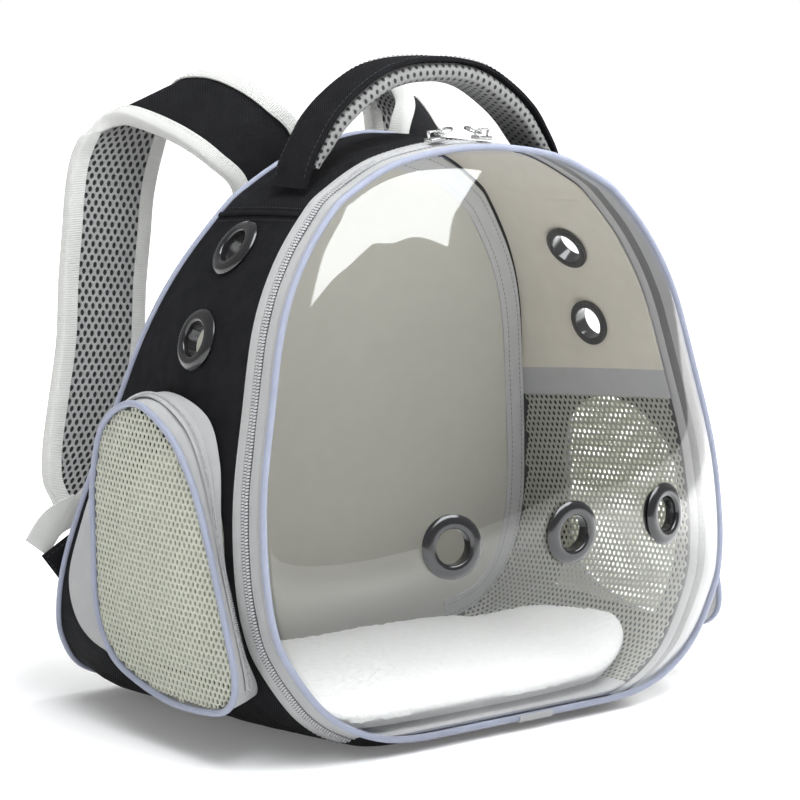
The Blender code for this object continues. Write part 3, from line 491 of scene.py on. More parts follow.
# Its last colour, near black, is the painted shade inside the spacer mesh's holes.
BLACK_BACK = spaced("black_spacer_mesh", (0.012, 0.012, 0.014), (0.004, 0.004, 0.005), (0.001, 0.001, 0.001),
                    0.0042)
GREY_CLOTH = woven("grey_cloth", (0.40, 0.40, 0.40), (0.28, 0.28, 0.285), 0.75, 0.0006, 0.00015)
BEIGE_LINING = woven("beige_lining", (0.62, 0.585, 0.50), (0.48, 0.45, 0.38), 0.8, 0.0006, 0.00015)
GREIGE_LINING = woven("greige_lining", (0.50, 0.49, 0.43), (0.42, 0.41, 0.355), 0.8, 0.0006, 0.00015)
CREAM_KNIT = knitted("cream_knit", (0.84, 0.85, 0.755), (0.70, 0.71, 0.62), glow=0.45)
OLIVE_KNIT = knitted("olive_knit", (0.50, 0.50, 0.42), (0.34, 0.34, 0.28), glow=0.25)
GREY_KNIT = knitted("grey_knit", (0.40, 0.40, 0.395), (0.27, 0.27, 0.27))
STRAP_FOAM = knitted("dark_foam_core", (0.035, 0.035, 0.036), (0.01, 0.01, 0.01), relief=0.0002)
# Its third colour is the painted shade inside the handle knit's holes.
HANDLE_KNIT = spaced("grey_handle_knit", (0.28, 0.28, 0.275), (0.18, 0.18, 0.18), (0.03, 0.03, 0.03), 0.0046)
TAPE = ribbed("off_white_tape", (0.58, 0.58, 0.56), (0.40, 0.40, 0.38), 0.7, 0.0011, 0.00025)
GREY_TAPE = ribbed("grey_zip_tape", (0.42, 0.42, 0.42), (0.30, 0.30, 0.30), 0.75, 0.0007, 0.00015)
PIPING = woven("lavender_piping", (0.31, 0.335, 0.425), (0.22, 0.24, 0.32), 0.42, 0.0005, 0.00012, 0.1, 0.5)
COIL = moulded("silver_coil", (0.44, 0.44, 0.45), 0.25, 0.3)
# Near-black ribbed sheet for under the zip coil: painted shade for the gaps between its loops.
COIL_GAP_SHADE = ribbed("coil_gap_painted_shade", (0.06, 0.06, 0.06), (0.03, 0.03, 0.03), 0.8, 0.0008, 0.0002)
BLACK_PLASTIC = moulded("black_ring_plastic", (0.010, 0.010, 0.011), 0.16, 0.4)
STEEL = plated("bright_plating", (0.78, 0.78, 0.77), 0.18)
CLEAR = clear("clear_shell")
WHITE_PLUSH = plush("white_plush", (0.76, 0.76, 0.75), (0.58, 0.58, 0.57))
GREY_THREAD = moulded("grey_thread", (0.42, 0.42, 0.41), 0.7)
DARK_THREAD = moulded("dark_grey_thread", (0.16, 0.16, 0.155), 0.7)
TAPE_GREY = ribbed("grey_seam_tape", (0.50, 0.50, 0.50), (0.36, 0.36, 0.36), 0.75, 0.0009, 0.0002)
TAPE_THREAD = moulded("off_white_thread", (0.62, 0.62, 0.58), 0.7)
BLACK_THREAD = moulded("black_thread", (0.02, 0.02, 0.022), 0.6)


# Making pieces
def as_array(net):
    return np.array([[tuple(point) for point in row] for row in net], dtype=float)


def net_normals(net, around):
    if around:
        du = np.roll(net, -1, 1) - np.roll(net, 1, 1)
    else:
        du = np.gradient(net, axis=1)
    dv = np.gradient(net, axis=0) if net.shape[0] > 1 else np.zeros_like(net)
    normal = np.cross(du, dv)
    length = np.linalg.norm(normal, axis=2, keepdims=True)
    return normal / np.maximum(length, 1e-12)


def settle(item, finish, nodes, body="bag"):
    """Gives a piece its material and its body, and hides the nodes that it stands for."""
    item.data.materials.clear()
    item.data.materials.append(finish)
    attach(item, body)
    if nodes:
        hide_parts(*nodes)
    return item


def new_piece(name, points, faces, flats, finish, nodes=(), body="bag"):
    """A smooth piece from its faces, with its UV map in metres."""
    mesh = bpy.data.meshes.new(name)
    mesh.from_pydata([tuple(point) for point in points], [], faces)
    if flats is not None:
        layer = mesh.uv_layers.new(name="flat")
        layer.data.foreach_set("uv", np.asarray(flats, dtype=float).ravel())
    item = bpy.data.objects.new(name, mesh)
    bpy.context.scene.collection.objects.link(item)
    mesh.shade_smooth()
    mesh.set_sharp_from_angle(angle=math.radians(48))
    return settle(item, finish, nodes, body)


def wall(name, net, thick, finish, nodes=(), around=False, flip=False, relief=None):
    """A sheet with two faces and closed edges, from rows of points on its outer face."""
    net = as_array(net)
    normal = net_normals(net, around)
    if flip:
        normal = -normal
    if relief is not None:
        lift = np.array([[relief(net[r, c], r, c) for c in range(net.shape[1])] for r in range(net.shape[0])])
        net = net + normal * lift[:, :, None]
    inner = net - normal * thick
    rows, columns = net.shape[:2]
    points = np.concatenate([net.reshape(-1, 3), inner.reshape(-1, 3)])
    last = columns if around else columns - 1
    run = np.zeros((rows, columns + 1))
    closed = np.concatenate([net, net[:, :1]], axis=1)
    run[:, 1:] = np.cumsum(np.linalg.norm(np.diff(closed, axis=1), axis=2), axis=1)
    rise = np.zeros((rows, columns + 1))
    rise[1:] = np.cumsum(np.linalg.norm(np.diff(closed, axis=0), axis=2), axis=0)
    run[:] = run[rows // 2]
    size = rows * columns
    faces = []
    flats = []

    def quad(corners, base, turned):
        ids = [base + r * columns + c % columns for r, c in corners]
        uv = [(run[r, c], rise[r, c]) for r, c in corners]
        if turned:
            ids.reverse()
            uv.reverse()
        faces.append(ids)
        flats.extend(uv)

    for r in range(rows - 1):
        for c in range(last):
            corners = ((r, c), (r, c + 1), (r + 1, c + 1), (r + 1, c))
            quad(corners, 0, flip)
            quad(corners, size, not flip)
    borders = [[(0, c) for c in range(last + 1)], [(rows - 1, c) for c in range(last, -1, -1)]]
    if not around:
        borders += [[(r, last) for r in range(rows)], [(r, 0) for r in range(rows - 1, -1, -1)]]
    for border in borders:
        for (r0, c0), (r1, c1) in zip(border, border[1:]):
            a = r0 * columns + c0 % columns
            b = r1 * columns + c1 % columns
            ids = [b, a, a + size, b + size]
            uv = [(run[r1, c1], rise[r1, c1]), (run[r0, c0], rise[r0, c0]),
                  (run[r0, c0] + thick, rise[r0, c0]), (run[r1, c1] + thick, rise[r1, c1])]
            if flip:
                ids.reverse()
                uv.reverse()
            faces.append(ids)
            flats.extend(uv)
    return new_piece(name, points, faces, flats, finish, nodes)


def tube(name, sections, finish, nodes=(), closed=False, body="bag"):
    """A bar through closed sections, with its UV map along and round it."""
    net = as_array(sections)
    rows, columns = net.shape[:2]
    along = np.zeros(rows + 1)
    middle = net.mean(axis=1)
    ring = np.concatenate([middle, middle[:1]])
    along[1:] = np.cumsum(np.linalg.norm(np.diff(ring, axis=0), axis=1))
    girth = np.zeros(columns + 1)
    section = np.concatenate([net[rows // 2], net[rows // 2][:1]])
    girth[1:] = np.cumsum(np.linalg.norm(np.diff(section, axis=0), axis=1))
    faces = []
    flats = []
    for r in range(rows if closed else rows - 1):
        n = (r + 1) % rows
        for c in range(columns):
            d = (c + 1) % columns
            faces.append([r * columns + c, r * columns + d, n * columns + d, n * columns + c])
            flats.extend([(along[r], girth[c]), (along[r], girth[c + 1]), (along[r + 1], girth[c + 1]),
                          (along[r + 1], girth[c])])
    if not closed:
        for r, turned in ((0, True), (rows - 1, False)):
            ids = [r * columns + c for c in range(columns)]
            faces.append(ids[::-1] if turned else ids)
            flats.extend([(along[r], girth[c]) for c in (range(columns - 1, -1, -1) if turned else range(columns))])
    return outward(new_piece(name, net.reshape(-1, 3), faces, flats, finish, nodes, body))


def round_cord(name, path, radius, finish, nodes):
    """A closed covered cord with a little unevenness."""
    count = len(path)
    sections = []
    for k, point in enumerate(path):
        along = (path[(k + 1) % count] - path[k - 1]).normalized()
        side = along.cross(Vector((0.3, 0.5, 0.81))).normalized()
        other = along.cross(side).normalized()
        swell = radius * (1.0 + 0.04 * ripple(point, 0.012))
        sections.append([point + (side * c + other * s) * swell for c, s in circle(10)])
    return tube(name, sections, finish, nodes, closed=True)


def punched(name, cells, spot, hole, thick, finish, nodes, pitch, flip=False):
    """A net: a sheet of six-sided cells with a hole in each, laid on a surface by spot(a, b), which gives
    a point and the direction out. Hole gives the half width and half height of the hole."""
    corners = []
    for k in range(12):
        angle = math.pi * k / 6
        reach = pitch / 2 / math.cos((angle + math.pi / 6) % (math.pi / 3) - math.pi / 6)
        corners.append((reach * math.cos(angle), reach * math.sin(angle)))
    ids = {}
    points = []
    flats_of = []
    faces = []
    flats = []

    def index(a, b, side):
        key = (round(a / pitch * 60), round(b / pitch * 60), side)
        if key not in ids:
            ids[key] = len(points)
            point, out = spot(a, b)
            points.append(point - out * (thick if side else 0.0))
            flats_of.append((a, b))
        return ids[key]

    edges = {}
    for a, b in cells:
        rim = [(a + x, b + y) for x, y in corners]
        inner = [(a + hole[0] * c, b + hole[1] * s) for c, s in circle(12)]
        for k in range(12):
            n = (k + 1) % 12
            quads = []
            for side in (0, 1):
                quad = [index(*rim[k], side), index(*rim[n], side), index(*inner[n], side), index(*inner[k], side)]
                quads.append(quad)
                ordered = quad if bool(side) == flip else quad[::-1]
                faces.append(ordered)
            top, low = quads
            hole_wall = [top[3], top[2], low[2], low[3]]
            faces.append(hole_wall if not flip else hole_wall[::-1])
            edge = (min(top[0], top[1]), max(top[0], top[1]))
            edges.setdefault(edge, []).append((top[0], top[1], low[1], low[0]))
    for users in edges.values():
        if len(users) == 1:
            a, b, c, d = users[0]
            faces.append([a, d, c, b] if not flip else [a, b, c, d])
    for face in faces:
        flats.extend([flats_of[i] for i in face])
    return new_piece(name, points, faces, flats, finish, nodes)


def hex_cells(a0, a1, b0, b1, pitch):
    """Centres of a close lattice of cells over a rectangle."""
    cells = []
    rows = math.ceil((b1 - b0) / (pitch * math.sqrt(3) / 2))
    for r in range(rows + 1):
        shift = pitch / 2 if r % 2 else 0.0
        for c in range(math.ceil((a1 - a0) / pitch) + 1):
            cells.append((a0 + shift + c * pitch, b0 + r * pitch * math.sqrt(3) / 2))
    return cells


def add_bar(points, faces, rings, turned):
    """Adds a closed bar through rings of points to the points and faces of a piece."""
    base, count = len(points), len(rings[0])
    for ring in rings:
        points += ring
    for r in range(len(rings) - 1):
        for c in range(count):
            low, n = base + r * count, (c + 1) % count
            quad = [low + c, low + n, low + count + n, low + count + c]
            faces.append(quad if turned else quad[::-1])
    first = [base + c for c in range(count)]
    last = [k + count * (len(rings) - 1) for k in first]
    faces += [first[::-1], last] if turned else [first, last[::-1]]


def stitches(name, path, finish, length=0.0026, gap=0.0011, radius=0.00022):
    """A row of short raised threads along a path of (point, direction out)."""
    spots = [Vector(point) for point, out in path]
    outs = [Vector(out) for point, out in path]
    reach = [0.0]
    for a, b in zip(spots, spots[1:]):
        reach.append(reach[-1] + (b - a).length)

    def at(distance):
        k = min(max(int(np.searchsorted(reach, distance)), 1), len(reach) - 1)
        share = (distance - reach[k - 1]) / max(reach[k] - reach[k - 1], 1e-9)
        return spots[k - 1].lerp(spots[k], share), outs[k - 1].lerp(outs[k], share).normalized()

    points = []
    faces = []
    start = 0.0
    while start + length < reach[-1]:
        a, out = at(start)
        b = at(start + length)[0]
        along = (b - a).normalized()
        side = along.cross(out).normalized()
        rings = []
        for share, swell, lift in ((0.0, 0.35, -0.6), (0.25, 1.0, 0.35), (0.75, 1.0, 0.35), (1.0, 0.35, -0.6)):
            middle = a.lerp(b, share) + out * radius * lift
            rings.append([middle + (side * c + out * s) * radius * swell for c, s in circle(5)])
        add_bar(points, faces, rings, False)
        start += length + gap
    return new_piece(name, points, faces, None, finish)


def shaped(item, *steps):
    """Works on one piece in edit mode with everything selected."""
    bpy.context.view_layer.objects.active = item
    item.select_set(True)
    bpy.ops.object.mode_set(mode="EDIT")
    bpy.ops.mesh.select_all(action="SELECT")
    for operation, settings in steps:
        operation(**settings)
    bpy.ops.object.mode_set(mode="OBJECT")
    item.select_set(False)


def outward(item):
    shaped(item, (bpy.ops.mesh.normals_make_consistent, {"inside": False}))
    return item


def baked(item):
    """Moves a piece's place into its vertices."""
    item.select_set(True)
    bpy.context.view_layer.objects.active = item
    bpy.ops.object.transform_apply(location=True, rotation=True, scale=True)
    item.select_set(False)


def cut_away(item, cutters):
    """Cuts closed solids out of a piece, applying each cut at once."""
    bpy.context.view_layer.objects.active = item
    for cutter in cutters:
        cut = item.modifiers.new("cut", "BOOLEAN")
        cut.operation = "DIFFERENCE"
        cut.solver = "EXACT"
        cut.object = cutter
        bpy.ops.object.modifier_apply(modifier=cut.name)


def tree_of(rows):
    """A closed band of rows of points, ready for ray casts."""
    length = len(rows[0])
    faces = []
    for row in range(len(rows) - 1):
        for k in range(length):
            n = (k + 1) % length
            a, b, c, d = row * length + k, row * length + n, (row + 1) * length + n, (row + 1) * length + k
            faces += [(a, b, c), (a, c, d)]
    return BVHTree.FromPolygons([point for row in rows for point in row], faces)


def side_tree(margin, out, columns, rows):
    """The bag's side, from the gusset's edge to a margin before the back rim, ready for ray casts."""
    return tree_of([[side_point(p, GUSSET_START + (depth_at(p) - GUSSET_START - margin) * r / rows, out)
                     for p in all_round(columns)] for r in range(rows + 1)])


def side_net(start, end, near, far, out, columns, rows):
    """Points on the bag's side between two stations and two distances from the front rim. The far
    distance is counted from the back rim where it is negative."""
    net = []
    for row in range(rows + 1):
        line = []
        for place in spread(start, end, columns):
            close = near if near >= 0 else depth_at(place) + near
            reach = far if far >= 0 else depth_at(place) + far
            line.append(side_point(place, close + (reach - close) * row / rows, out))
        net.append(line)
    return net


# Door edge
def door_edge():
    """The piping of both rims, and the door's strip, zip, tape, hinge and piping cover."""
    for name, rim, node in (("front_piping", 0, "door_piping"), ("back_piping_cord", 1, "back_piping")):
        round_cord(name, [rim_points(p)[rim] for p in all_round(420)], PIPING_RADIUS, PIPING, [node])
    right = place_at_x(0.096, False)
    left = place_at_x(-0.115, False)
    start, end = left - COUNT, right
    wall("door_cloth_strip", side_net(start, end, STRIP_START, STRIP_START + 0.0105, 0.0, 640, 5), 0.001,
         GREY_CLOTH, ["door_strip"],
         relief=lambda p, r, c: 0.0005 * ripple(p, 0.02) + 0.0004 * math.sin(math.pi * r / 5))
    wall("zip_cloth_tape", side_net(start, end, TAPE_START, TAPE_START + 0.0075, 0.0, 640, 3), 0.001,
         GREY_TAPE, ["zip_tape"])
    # A near-black sheet under the coil: painted shade that shows in the gaps between the coil's loops.
    wall("coil_gap_shade_sheet", side_net(start, end, COIL_START, COIL_START + 0.0072, -0.0002, 640, 2), 0.0008,
         COIL_GAP_SHADE, ())
    coil("zip_coil_teeth", start, end)
    wall("door_cloth_hinge", side_net(right, left, STRIP_START, GUSSET_START - GAP, 0.0, 120, 8), 0.001,
         BLACK_CLOTH, ["door_hinge"])
    sleeve = []
    span = spread(place_at_x(0.024, False), place_at_x(-0.002, False), 24)
    for degrees in spread(-55, 120, 12):
        angle = math.radians(degrees)
        sleeve.append([rim_points(p)[0] + (rim_normal(p) * math.cos(angle) + AHEAD * math.sin(angle)) * 0.0031
                       for p in span])
    wall("piping_cover", sleeve, 0.0007, GREY_CLOTH, ["piping_sleeve"], flip=True)
    for name, distance in (("strip_stitches", STRIP_START + 0.0022),
                           ("strip_stitches_by_zip", STRIP_START + 0.0088),
                           ("tape_stitches", TAPE_START + 0.0052)):
        path = [(side_point(p, distance, 0.0006), rim_normal(p)) for p in spread(start, end, 500)]
        stitches(name, path, GREY_THREAD)


def coil(name, start, end):
    """Two rows of coil loops that meet in the middle of the zip."""
    reach = [0.0]
    fine = spread(start, end, 1600)
    spots = [side_point(p, COIL_START + 0.0036, 0.0) for p in fine]
    for a, b in zip(spots, spots[1:]):
        reach.append(reach[-1] + (b - a).length)
    pitch = 0.0019
    points = []
    faces = []
    for k in range(int(reach[-1] / pitch) - 1):
        for row, side in ((0, -1), (1, 1)):
            distance = (k + 0.5 + row / 2) * pitch
            place = float(np.interp(distance, reach, fine))
            out = rim_normal(place)
            middle = side_point(place, COIL_START + 0.0036, 0.0)
            across = (side_point(place, COIL_START + 0.0046, 0.0) - middle).normalized()
            along = out.cross(across).normalized()
            rings = []
            for u, high, half in ((0.25, 0.0004, 0.00045), (0.8, 0.0011, 0.00074), (2.1, 0.0011, 0.00074),
                                  (2.9, 0.0002, 0.00045)):
                centre = middle + across * side * u * 0.001 + along * side * 0.00018 * u
                rings.append([centre + along * c * half + out * (high * 0.5 + s * high * 0.6)
                              for c, s in circle(6)])
            add_bar(points, faces, rings, side > 0)
    new_piece(name, points, faces, None, COIL, ["zip_coil"])


# Bubble and grommets
def bubble_point(share, place, out=0.0):
    """A point of the bubble, at a share of the way from its middle to its rim."""
    middle_z = RIM_LIFT + BUBBLE_MIDDLE * FRONT_HEIGHT
    middle = Vector((0.0, front_y(middle_z), middle_z))
    inset = rim_points(place)[0] - rim_normal(place) * (PIPING_RADIUS + GAP)
    rim = Vector((inset.x, front_y(inset.z), inset.z))
    bulge = BUBBLE_RISE * max(1 - share ** 2, 0.0) ** 0.8
    return middle.lerp(rim, share) + AHEAD * (bulge + out)


def dome(name, rings, columns, thick):
    """A closed shell with a pole in the middle."""
    points = [bubble_point(s, p, lift) for lift in (0.0, -thick) for s in rings for p in all_round(columns)]
    half = len(rings) * columns
    faces = []
    for base, turned in ((0, False), (half, True)):
        pole = len(points)
        points.append(bubble_point(0.0, 0.0, -thick if turned else 0.0))
        for r in range(len(rings) - 1):
            for c in range(columns):
                n = (c + 1) % columns
                quad = [base + r * columns + c, base + (r + 1) * columns + c, base + (r + 1) * columns + n,
                        base + r * columns + n]
                faces.append(quad[::-1] if turned else quad)
        last = base + (len(rings) - 1) * columns
        for c in range(columns):
            tri = [last + c, pole, last + (c + 1) % columns]
            faces.append(tri[::-1] if turned else tri)
    for c in range(columns):
        n = (c + 1) % columns
        faces.append([c, n, half + n, half + c])
    return outward(new_piece(name, points, faces, None, CLEAR, ["bubble_window"]))


def grommet(name, tree, start, ray, wall_depth, node):
    """A turned ring clamped on a wall. Gives back the cutter for its hole."""
    spot = tree.ray_cast(start, ray)[0]
    turn = ray.to_track_quat("Z", "Y").to_matrix()

    def hits(radius):
        found = []
        for c, s in circle(28):
            shift = turn @ Vector((radius * c, radius * s, 0.0))
            found.append(tree.ray_cast(start + shift, ray)[:2])
        return [pair for pair in found if pair[0] is not None]

    normal = Vector()
    for point, facing in hits(0.0127):
        normal -= facing * math.copysign(1.0, facing.dot(ray))
    normal.normalize()
    near = [(point - spot).dot(normal) for radius in (0.0076, 0.0152) for point, facing in hits(radius)]
    far = [(point - spot).dot(normal) for point, facing in hits(0.019)]
    top = max(near + far + [0.0]) + 0.0003
    low = min(near + [0.0]) - wall_depth - 0.0003
    profile = [(0.0105, low - 0.0018), (0.0105, top + 0.0016), (0.0108, top + 0.0025), (0.0115, top + 0.0031),
               (0.0124, top + 0.0034), (0.0136, top + 0.0034), (0.0150, top + 0.0033), (0.0164, top + 0.0029),
               (0.0176, top + 0.0022), (0.0185, top + 0.0014), (0.0190, top + 0.0006), (0.0188, top),
               (0.0121, top), (0.0121, low), (0.0153, low), (0.0155, low - 0.0008), (0.0152, low - 0.0018),
               (0.0142, low - 0.0022), (0.0110, low - 0.0022)]
    place = Matrix.Translation(spot) @ normal.to_track_quat("Z", "Y").to_matrix().to_4x4()
    sections = [[place @ Vector((r * c, r * s, h)) for r, h in profile] for c, s in circle(72)]
    tube(name, sections, BLACK_PLASTIC, [node], closed=True)
    bpy.ops.mesh.primitive_cylinder_add(vertices=48, radius=0.0125, depth=(top - low) + 0.014)
    cutter = bpy.context.object
    cutter.matrix_world = place @ Matrix.Translation((0.0, 0.0, (top + low) / 2))
    cutter.select_set(False)
    return cutter


def bubble():
    shell = dome("clear_bubble", [1.0, 0.99, 0.975, 0.955, 0.93, 0.90, 0.86, 0.82, 0.77, 0.72, 0.66, 0.60, 0.53,
                                  0.46, 0.38, 0.30, 0.22, 0.14, 0.07], 140, 0.0012)
    tree = tree_of([[bubble_point(s, p) for p in all_round(168)]
                    for s in (1.0, 0.97, 0.92, 0.86, 0.78, 0.68, 0.56, 0.42, 0.26, 0.1, 0.001)])
    cutters = []
    for x, label in ((-0.083, "left"), (0.0, "centre"), (0.083, "right")):
        cutters.append(grommet("bubble_ring_" + label, tree, Vector((x, -1.0, 0.129)), Vector((0.0, 1.0, 0.0)),
                               0.0019, "bubble_vent_" + label))
    cut_away(shell, cutters)
    for cutter in cutters:
        bpy.data.objects.remove(cutter)


# Walls of the bag
def arch(sign):
    """The closed solid that opens the arched window in a side wall."""
    half = 0.057
    outline = [(-0.015 - half, 0.040), (-0.015 + half, 0.040)]
    for step in range(25):
        angle = math.pi * step / 24
        outline.append((-0.015 + half * math.cos(angle), 0.120 + half * math.sin(angle)))
    sections = [[Vector((sign * x, y, z)) for y, z in outline] for x in (0.09, 0.35)]
    count = len(outline)
    mesh = bpy.data.meshes.new("arch")
    faces = [list(range(count)), list(range(count * 2 - 1, count - 1, -1))]
    faces += [[k, k + count, (k + 1) % count + count, (k + 1) % count] for k in range(count)]
    mesh.from_pydata([tuple(p) for s in sections for p in s], [], faces)
    item = bpy.data.objects.new("arch", mesh)
    bpy.context.scene.collection.objects.link(item)
    return outward(item)


def cloth_folds(strength, rows, seed=0.0):
    """Relief of a slack cloth wall: broad waves, fine creases towards its seams, flat at its edges and
    round the grommets."""
    def lift(point, row, column):
        edge = min(min(row / rows, 1 - row / rows) * 8, 1.0)
        if abs(point[0]) > 0.08:
            for y, z in SIDE_RINGS[1 if point[0] > 0 else -1]:
                edge *= min(max((math.hypot(point[1] - y, point[2] - z) - 0.021) / 0.015, 0.0), 1.0)
        broad = ripple(point, 0.055, seed) * 0.7 + ripple(point, 0.022, seed + 3) * 0.3
        crease = abs(ripple((point[0] * 0.3, point[1], point[2]), 0.016, seed + 9))
        return edge * strength * (broad - 0.5 * max(0.35 - crease, 0.0) / 0.35)
    return lift


def inner_rows(start, end, columns, rows):
    """Points of the cabin's lining, which reaches under the front tape and the back lining."""
    return side_net(start, end, GUSSET_START - 0.002, 0.0015 - CABIN_MARGIN, -LINING_DEPTH, columns, rows)


def bag_walls(tree):
    gussets = {}
    linings = {}
    for sign, label in ((1, "right"), (-1, "left")):
        def span(high, low):
            return (high, low) if sign > 0 else (COUNT - low, COUNT - high)

        def inner(name, high, low, finish, node, slot, columns):
            return wall(name, inner_rows(*span(high, low), columns, 36), LINING, finish, [node],
                        relief=cloth_folds(0.0007, 36, 4.0))

        gussets[sign] = wall("side_cloth_" + label,
                             side_net(*span(SHOULDER, CORNER), GUSSET_START, -BACK_MARGIN, 0.0, 190, 48), CLOTH,
                             BLACK_CLOTH, ["side_gusset_" + label],
                             relief=cloth_folds(0.0009, 48, sign))
        linings[sign] = inner("inner_side_" + label, SHOULDER, PANEL, BEIGE_LINING, "lining_" + label,
                              "beige_fabric", 110)
        inner("mesh_top_band_" + label, PANEL, BAND, GREY_CLOTH, "mesh_band_" + label, "grey_fabric", 12)
        inner_net(label, span(BAND, CORNER))
    wall("top_cloth", side_net(-SHOULDER, SHOULDER, GUSSET_START, -BACK_MARGIN, 0.0, 170, 32), CLOTH, BLACK_CLOTH,
         ["top_gusset"], relief=cloth_folds(0.0008, 32, 7.0))
    wall("inner_top", inner_rows(-SHOULDER, SHOULDER, 120, 24), LINING, BEIGE_LINING, ["lining_top"])
    wall("base_cloth", side_net(CORNER, COUNT - CORNER, GUSSET_START, -BACK_MARGIN, 0.0, 150, 60), CLOTH,
         BLACK_CLOTH, ["base_panel"])
    wall("inner_floor", inner_rows(CORNER, COUNT - CORNER, 120, 50), LINING, GREY_CLOTH, ["lining_floor"])
    for name, place in (("left", COUNT - SHOULDER), ("right", SHOULDER)):
        seam_roll("shoulder_seam_" + name, place)
    cutters = {1: [], -1: []}
    for sign, label in ((-1, "left"), (1, "right")):
        for (y, z), level in zip(SIDE_RINGS[sign], ("upper", "lower")):
            name = label + "_" + level
            cutters[sign].append(grommet("side_ring_" + name, tree, Vector((sign, y, z)),
                                         Vector((-sign, 0.0, 0.0)), CABIN_DEPTH, "side_vent_" + name))
    for sign in (1, -1):
        opening = arch(sign)
        cut_away(gussets[sign], [opening] + cutters[sign])
        cut_away(linings[sign], cutters[sign])
        for cutter in cutters[sign] + [opening]:
            bpy.data.objects.remove(cutter)


def seam_roll(name, place):
    """The rolled edge where two pieces of black cloth are sewn together."""
    sections = []
    for share in spread(0.0, 1.0, 90):
        far = depth_at(place) - BACK_MARGIN
        distance = GUSSET_START + (far - GUSSET_START) * share
        middle = side_point(place, distance, 0.0006 + 0.0003 * ripple((distance, place, 0.0), 0.015))
        out = rim_normal(place)
        side = Vector((out.z, 0.0, -out.x))
        sections.append([middle + (side * 1.5 * c + out * s) * 0.0011 for c, s in circle(10)])
    tube(name, sections, BLACK_CLOTH, ())
    for side in (-1, 1):
        path = []
        for share in spread(0.01, 0.99, 60):
            distance = GUSSET_START + (depth_at(place) - BACK_MARGIN - GUSSET_START) * share
            path.append((side_point(place + side * 0.16, distance, 0.0007), rim_normal(place)))
        stitches("%s_stitches_%s" % (name, "low" if side > 0 else "high"), path, BLACK_THREAD)


def inner_net(label, stations):
    """The mesh panel inside the cabin, holes and all."""
    places = spread(*stations, 60)
    reach = [0.0]
    for a, b in zip(places, places[1:]):
        reach.append(reach[-1] + (side_point(b, 0.1, 0.0) - side_point(a, 0.1, 0.0)).length)
    height = reach[-1]

    def spot(a, b):
        place = float(np.interp(min(max(b, 0.0), height), reach, places))
        distance = min(max(a, GUSSET_START), depth_at(place) - CABIN_MARGIN)
        return side_point(place, distance, -LINING_DEPTH), rim_normal(place)

    pitch = 0.0046
    cells = []
    for a, b in hex_cells(GUSSET_START + pitch * 0.6, 0.230, pitch * 0.5, height - pitch * 0.5, pitch):
        place = float(np.interp(b, reach, places))
        if a < depth_at(place) - CABIN_MARGIN - pitch * 0.3:
            cells.append((a, b))
    punched("inner_mesh_" + label, cells, spot, (pitch * 0.30, pitch * 0.33), 0.0006, OLIVE_KNIT,
            ["mesh_panel_" + label], pitch, flip=True)


# Back of the bag
def back_ring(share, inset, out, columns):
    """A ring of the leaning back, drawn in from the back rim and shrunk to a share of it."""
    middle_z = RIM_LIFT + BACK_HEIGHT * 0.45
    ring = []
    for place in all_round(columns):
        rim = rim_points(place)[1] - rim_normal(place) * inset
        z = middle_z + (rim.z - middle_z) * share
        ring.append(Vector((rim.x * share, back_y(z), z)) + BEHIND * out)
    return ring


def quilt(point):
    """Depth of the stitched channels of the back pad, from 0 in a channel to 1 between them."""
    x, y, z = point
    lines = [abs(abs(x) - 0.052), abs(z - 0.235 - 0.25 * abs(x)), abs(z - 0.105 - 0.25 * abs(x))]
    near = min(lines)
    return min(near / 0.014, 1.0) ** 0.5


def back_walls():
    """The quilted back, the cabin's back lining and the tape over its seam."""
    shares = [1.0, 0.99, 0.975, 0.955, 0.93, 0.90, 0.87, 0.84, 0.80, 0.76, 0.72, 0.68, 0.64, 0.60, 0.56, 0.52, 0.48,
              0.44, 0.40, 0.36, 0.32, 0.28, 0.24, 0.20, 0.16, 0.12, 0.08, 0.04]
    rows = []
    for share in shares:
        crown = min((1 - share) / 0.10, 1.0) ** 0.6
        ring = back_ring(share, BACK_MARGIN + GAP, 0.0, 260)
        rows.append([point + BEHIND * (0.0048 * crown * (0.25 + 0.75 * quilt(point))) for point in ring])
    net = rows[::-1] + [back_ring(s, BACK_MARGIN + 0.0021, -BACK_WALL, 260) for s in shares[::3]]
    panel = capped("back_padding", net, BLACK_BACK, ["back_panel"])
    front = -BACK_WALL - GAP
    rear = [back_ring(s, LINING_DEPTH + GAP, front, 220) for s in (0.04, 0.3, 0.6, 0.85, 1.0)]
    face = [[point + BEHIND * LINING * ripple(point, 0.05, 2.0)
             for point in back_ring(s, LINING_DEPTH + GAP, front - LINING, 220)]
            for s in (1.0, 0.93, 0.86, 0.76, 0.66, 0.54, 0.4, 0.24, 0.04)]
    capped("inner_back", rear + face, GREIGE_LINING, ["lining_back"])
    inset = CABIN_DEPTH + GAP
    rows = []
    for width in spread(0.0, 0.0145, 6):
        rows.append([Vector((rim.x, back_y(rim.z), rim.z))
                     + BEHIND * (front - 0.0025 - 0.0005 * ripple((rim.x, rim.z, width * 4), 0.012, 6.0))
                     for rim in [rim_points(p)[1] - rim_normal(p) * (inset + width)
                                 for p in spread(COUNT - CORNER, COUNT + CORNER, 300)]])
    wall("seam_binding", rows, 0.001, TAPE_GREY, ["lining_binding"], flip=True)
    for name, width in (("seam_stitches_outer", 0.0025), ("seam_stitches_inner", 0.0108)):
        path = []
        for p in spread(COUNT - CORNER, COUNT + CORNER, 300):
            rim = rim_points(p)[1] - rim_normal(p) * (inset + width)
            path.append((Vector((rim.x, back_y(rim.z), rim.z)) + BEHIND * (front - 0.0028), -BEHIND))
        stitches(name, path, DARK_THREAD)


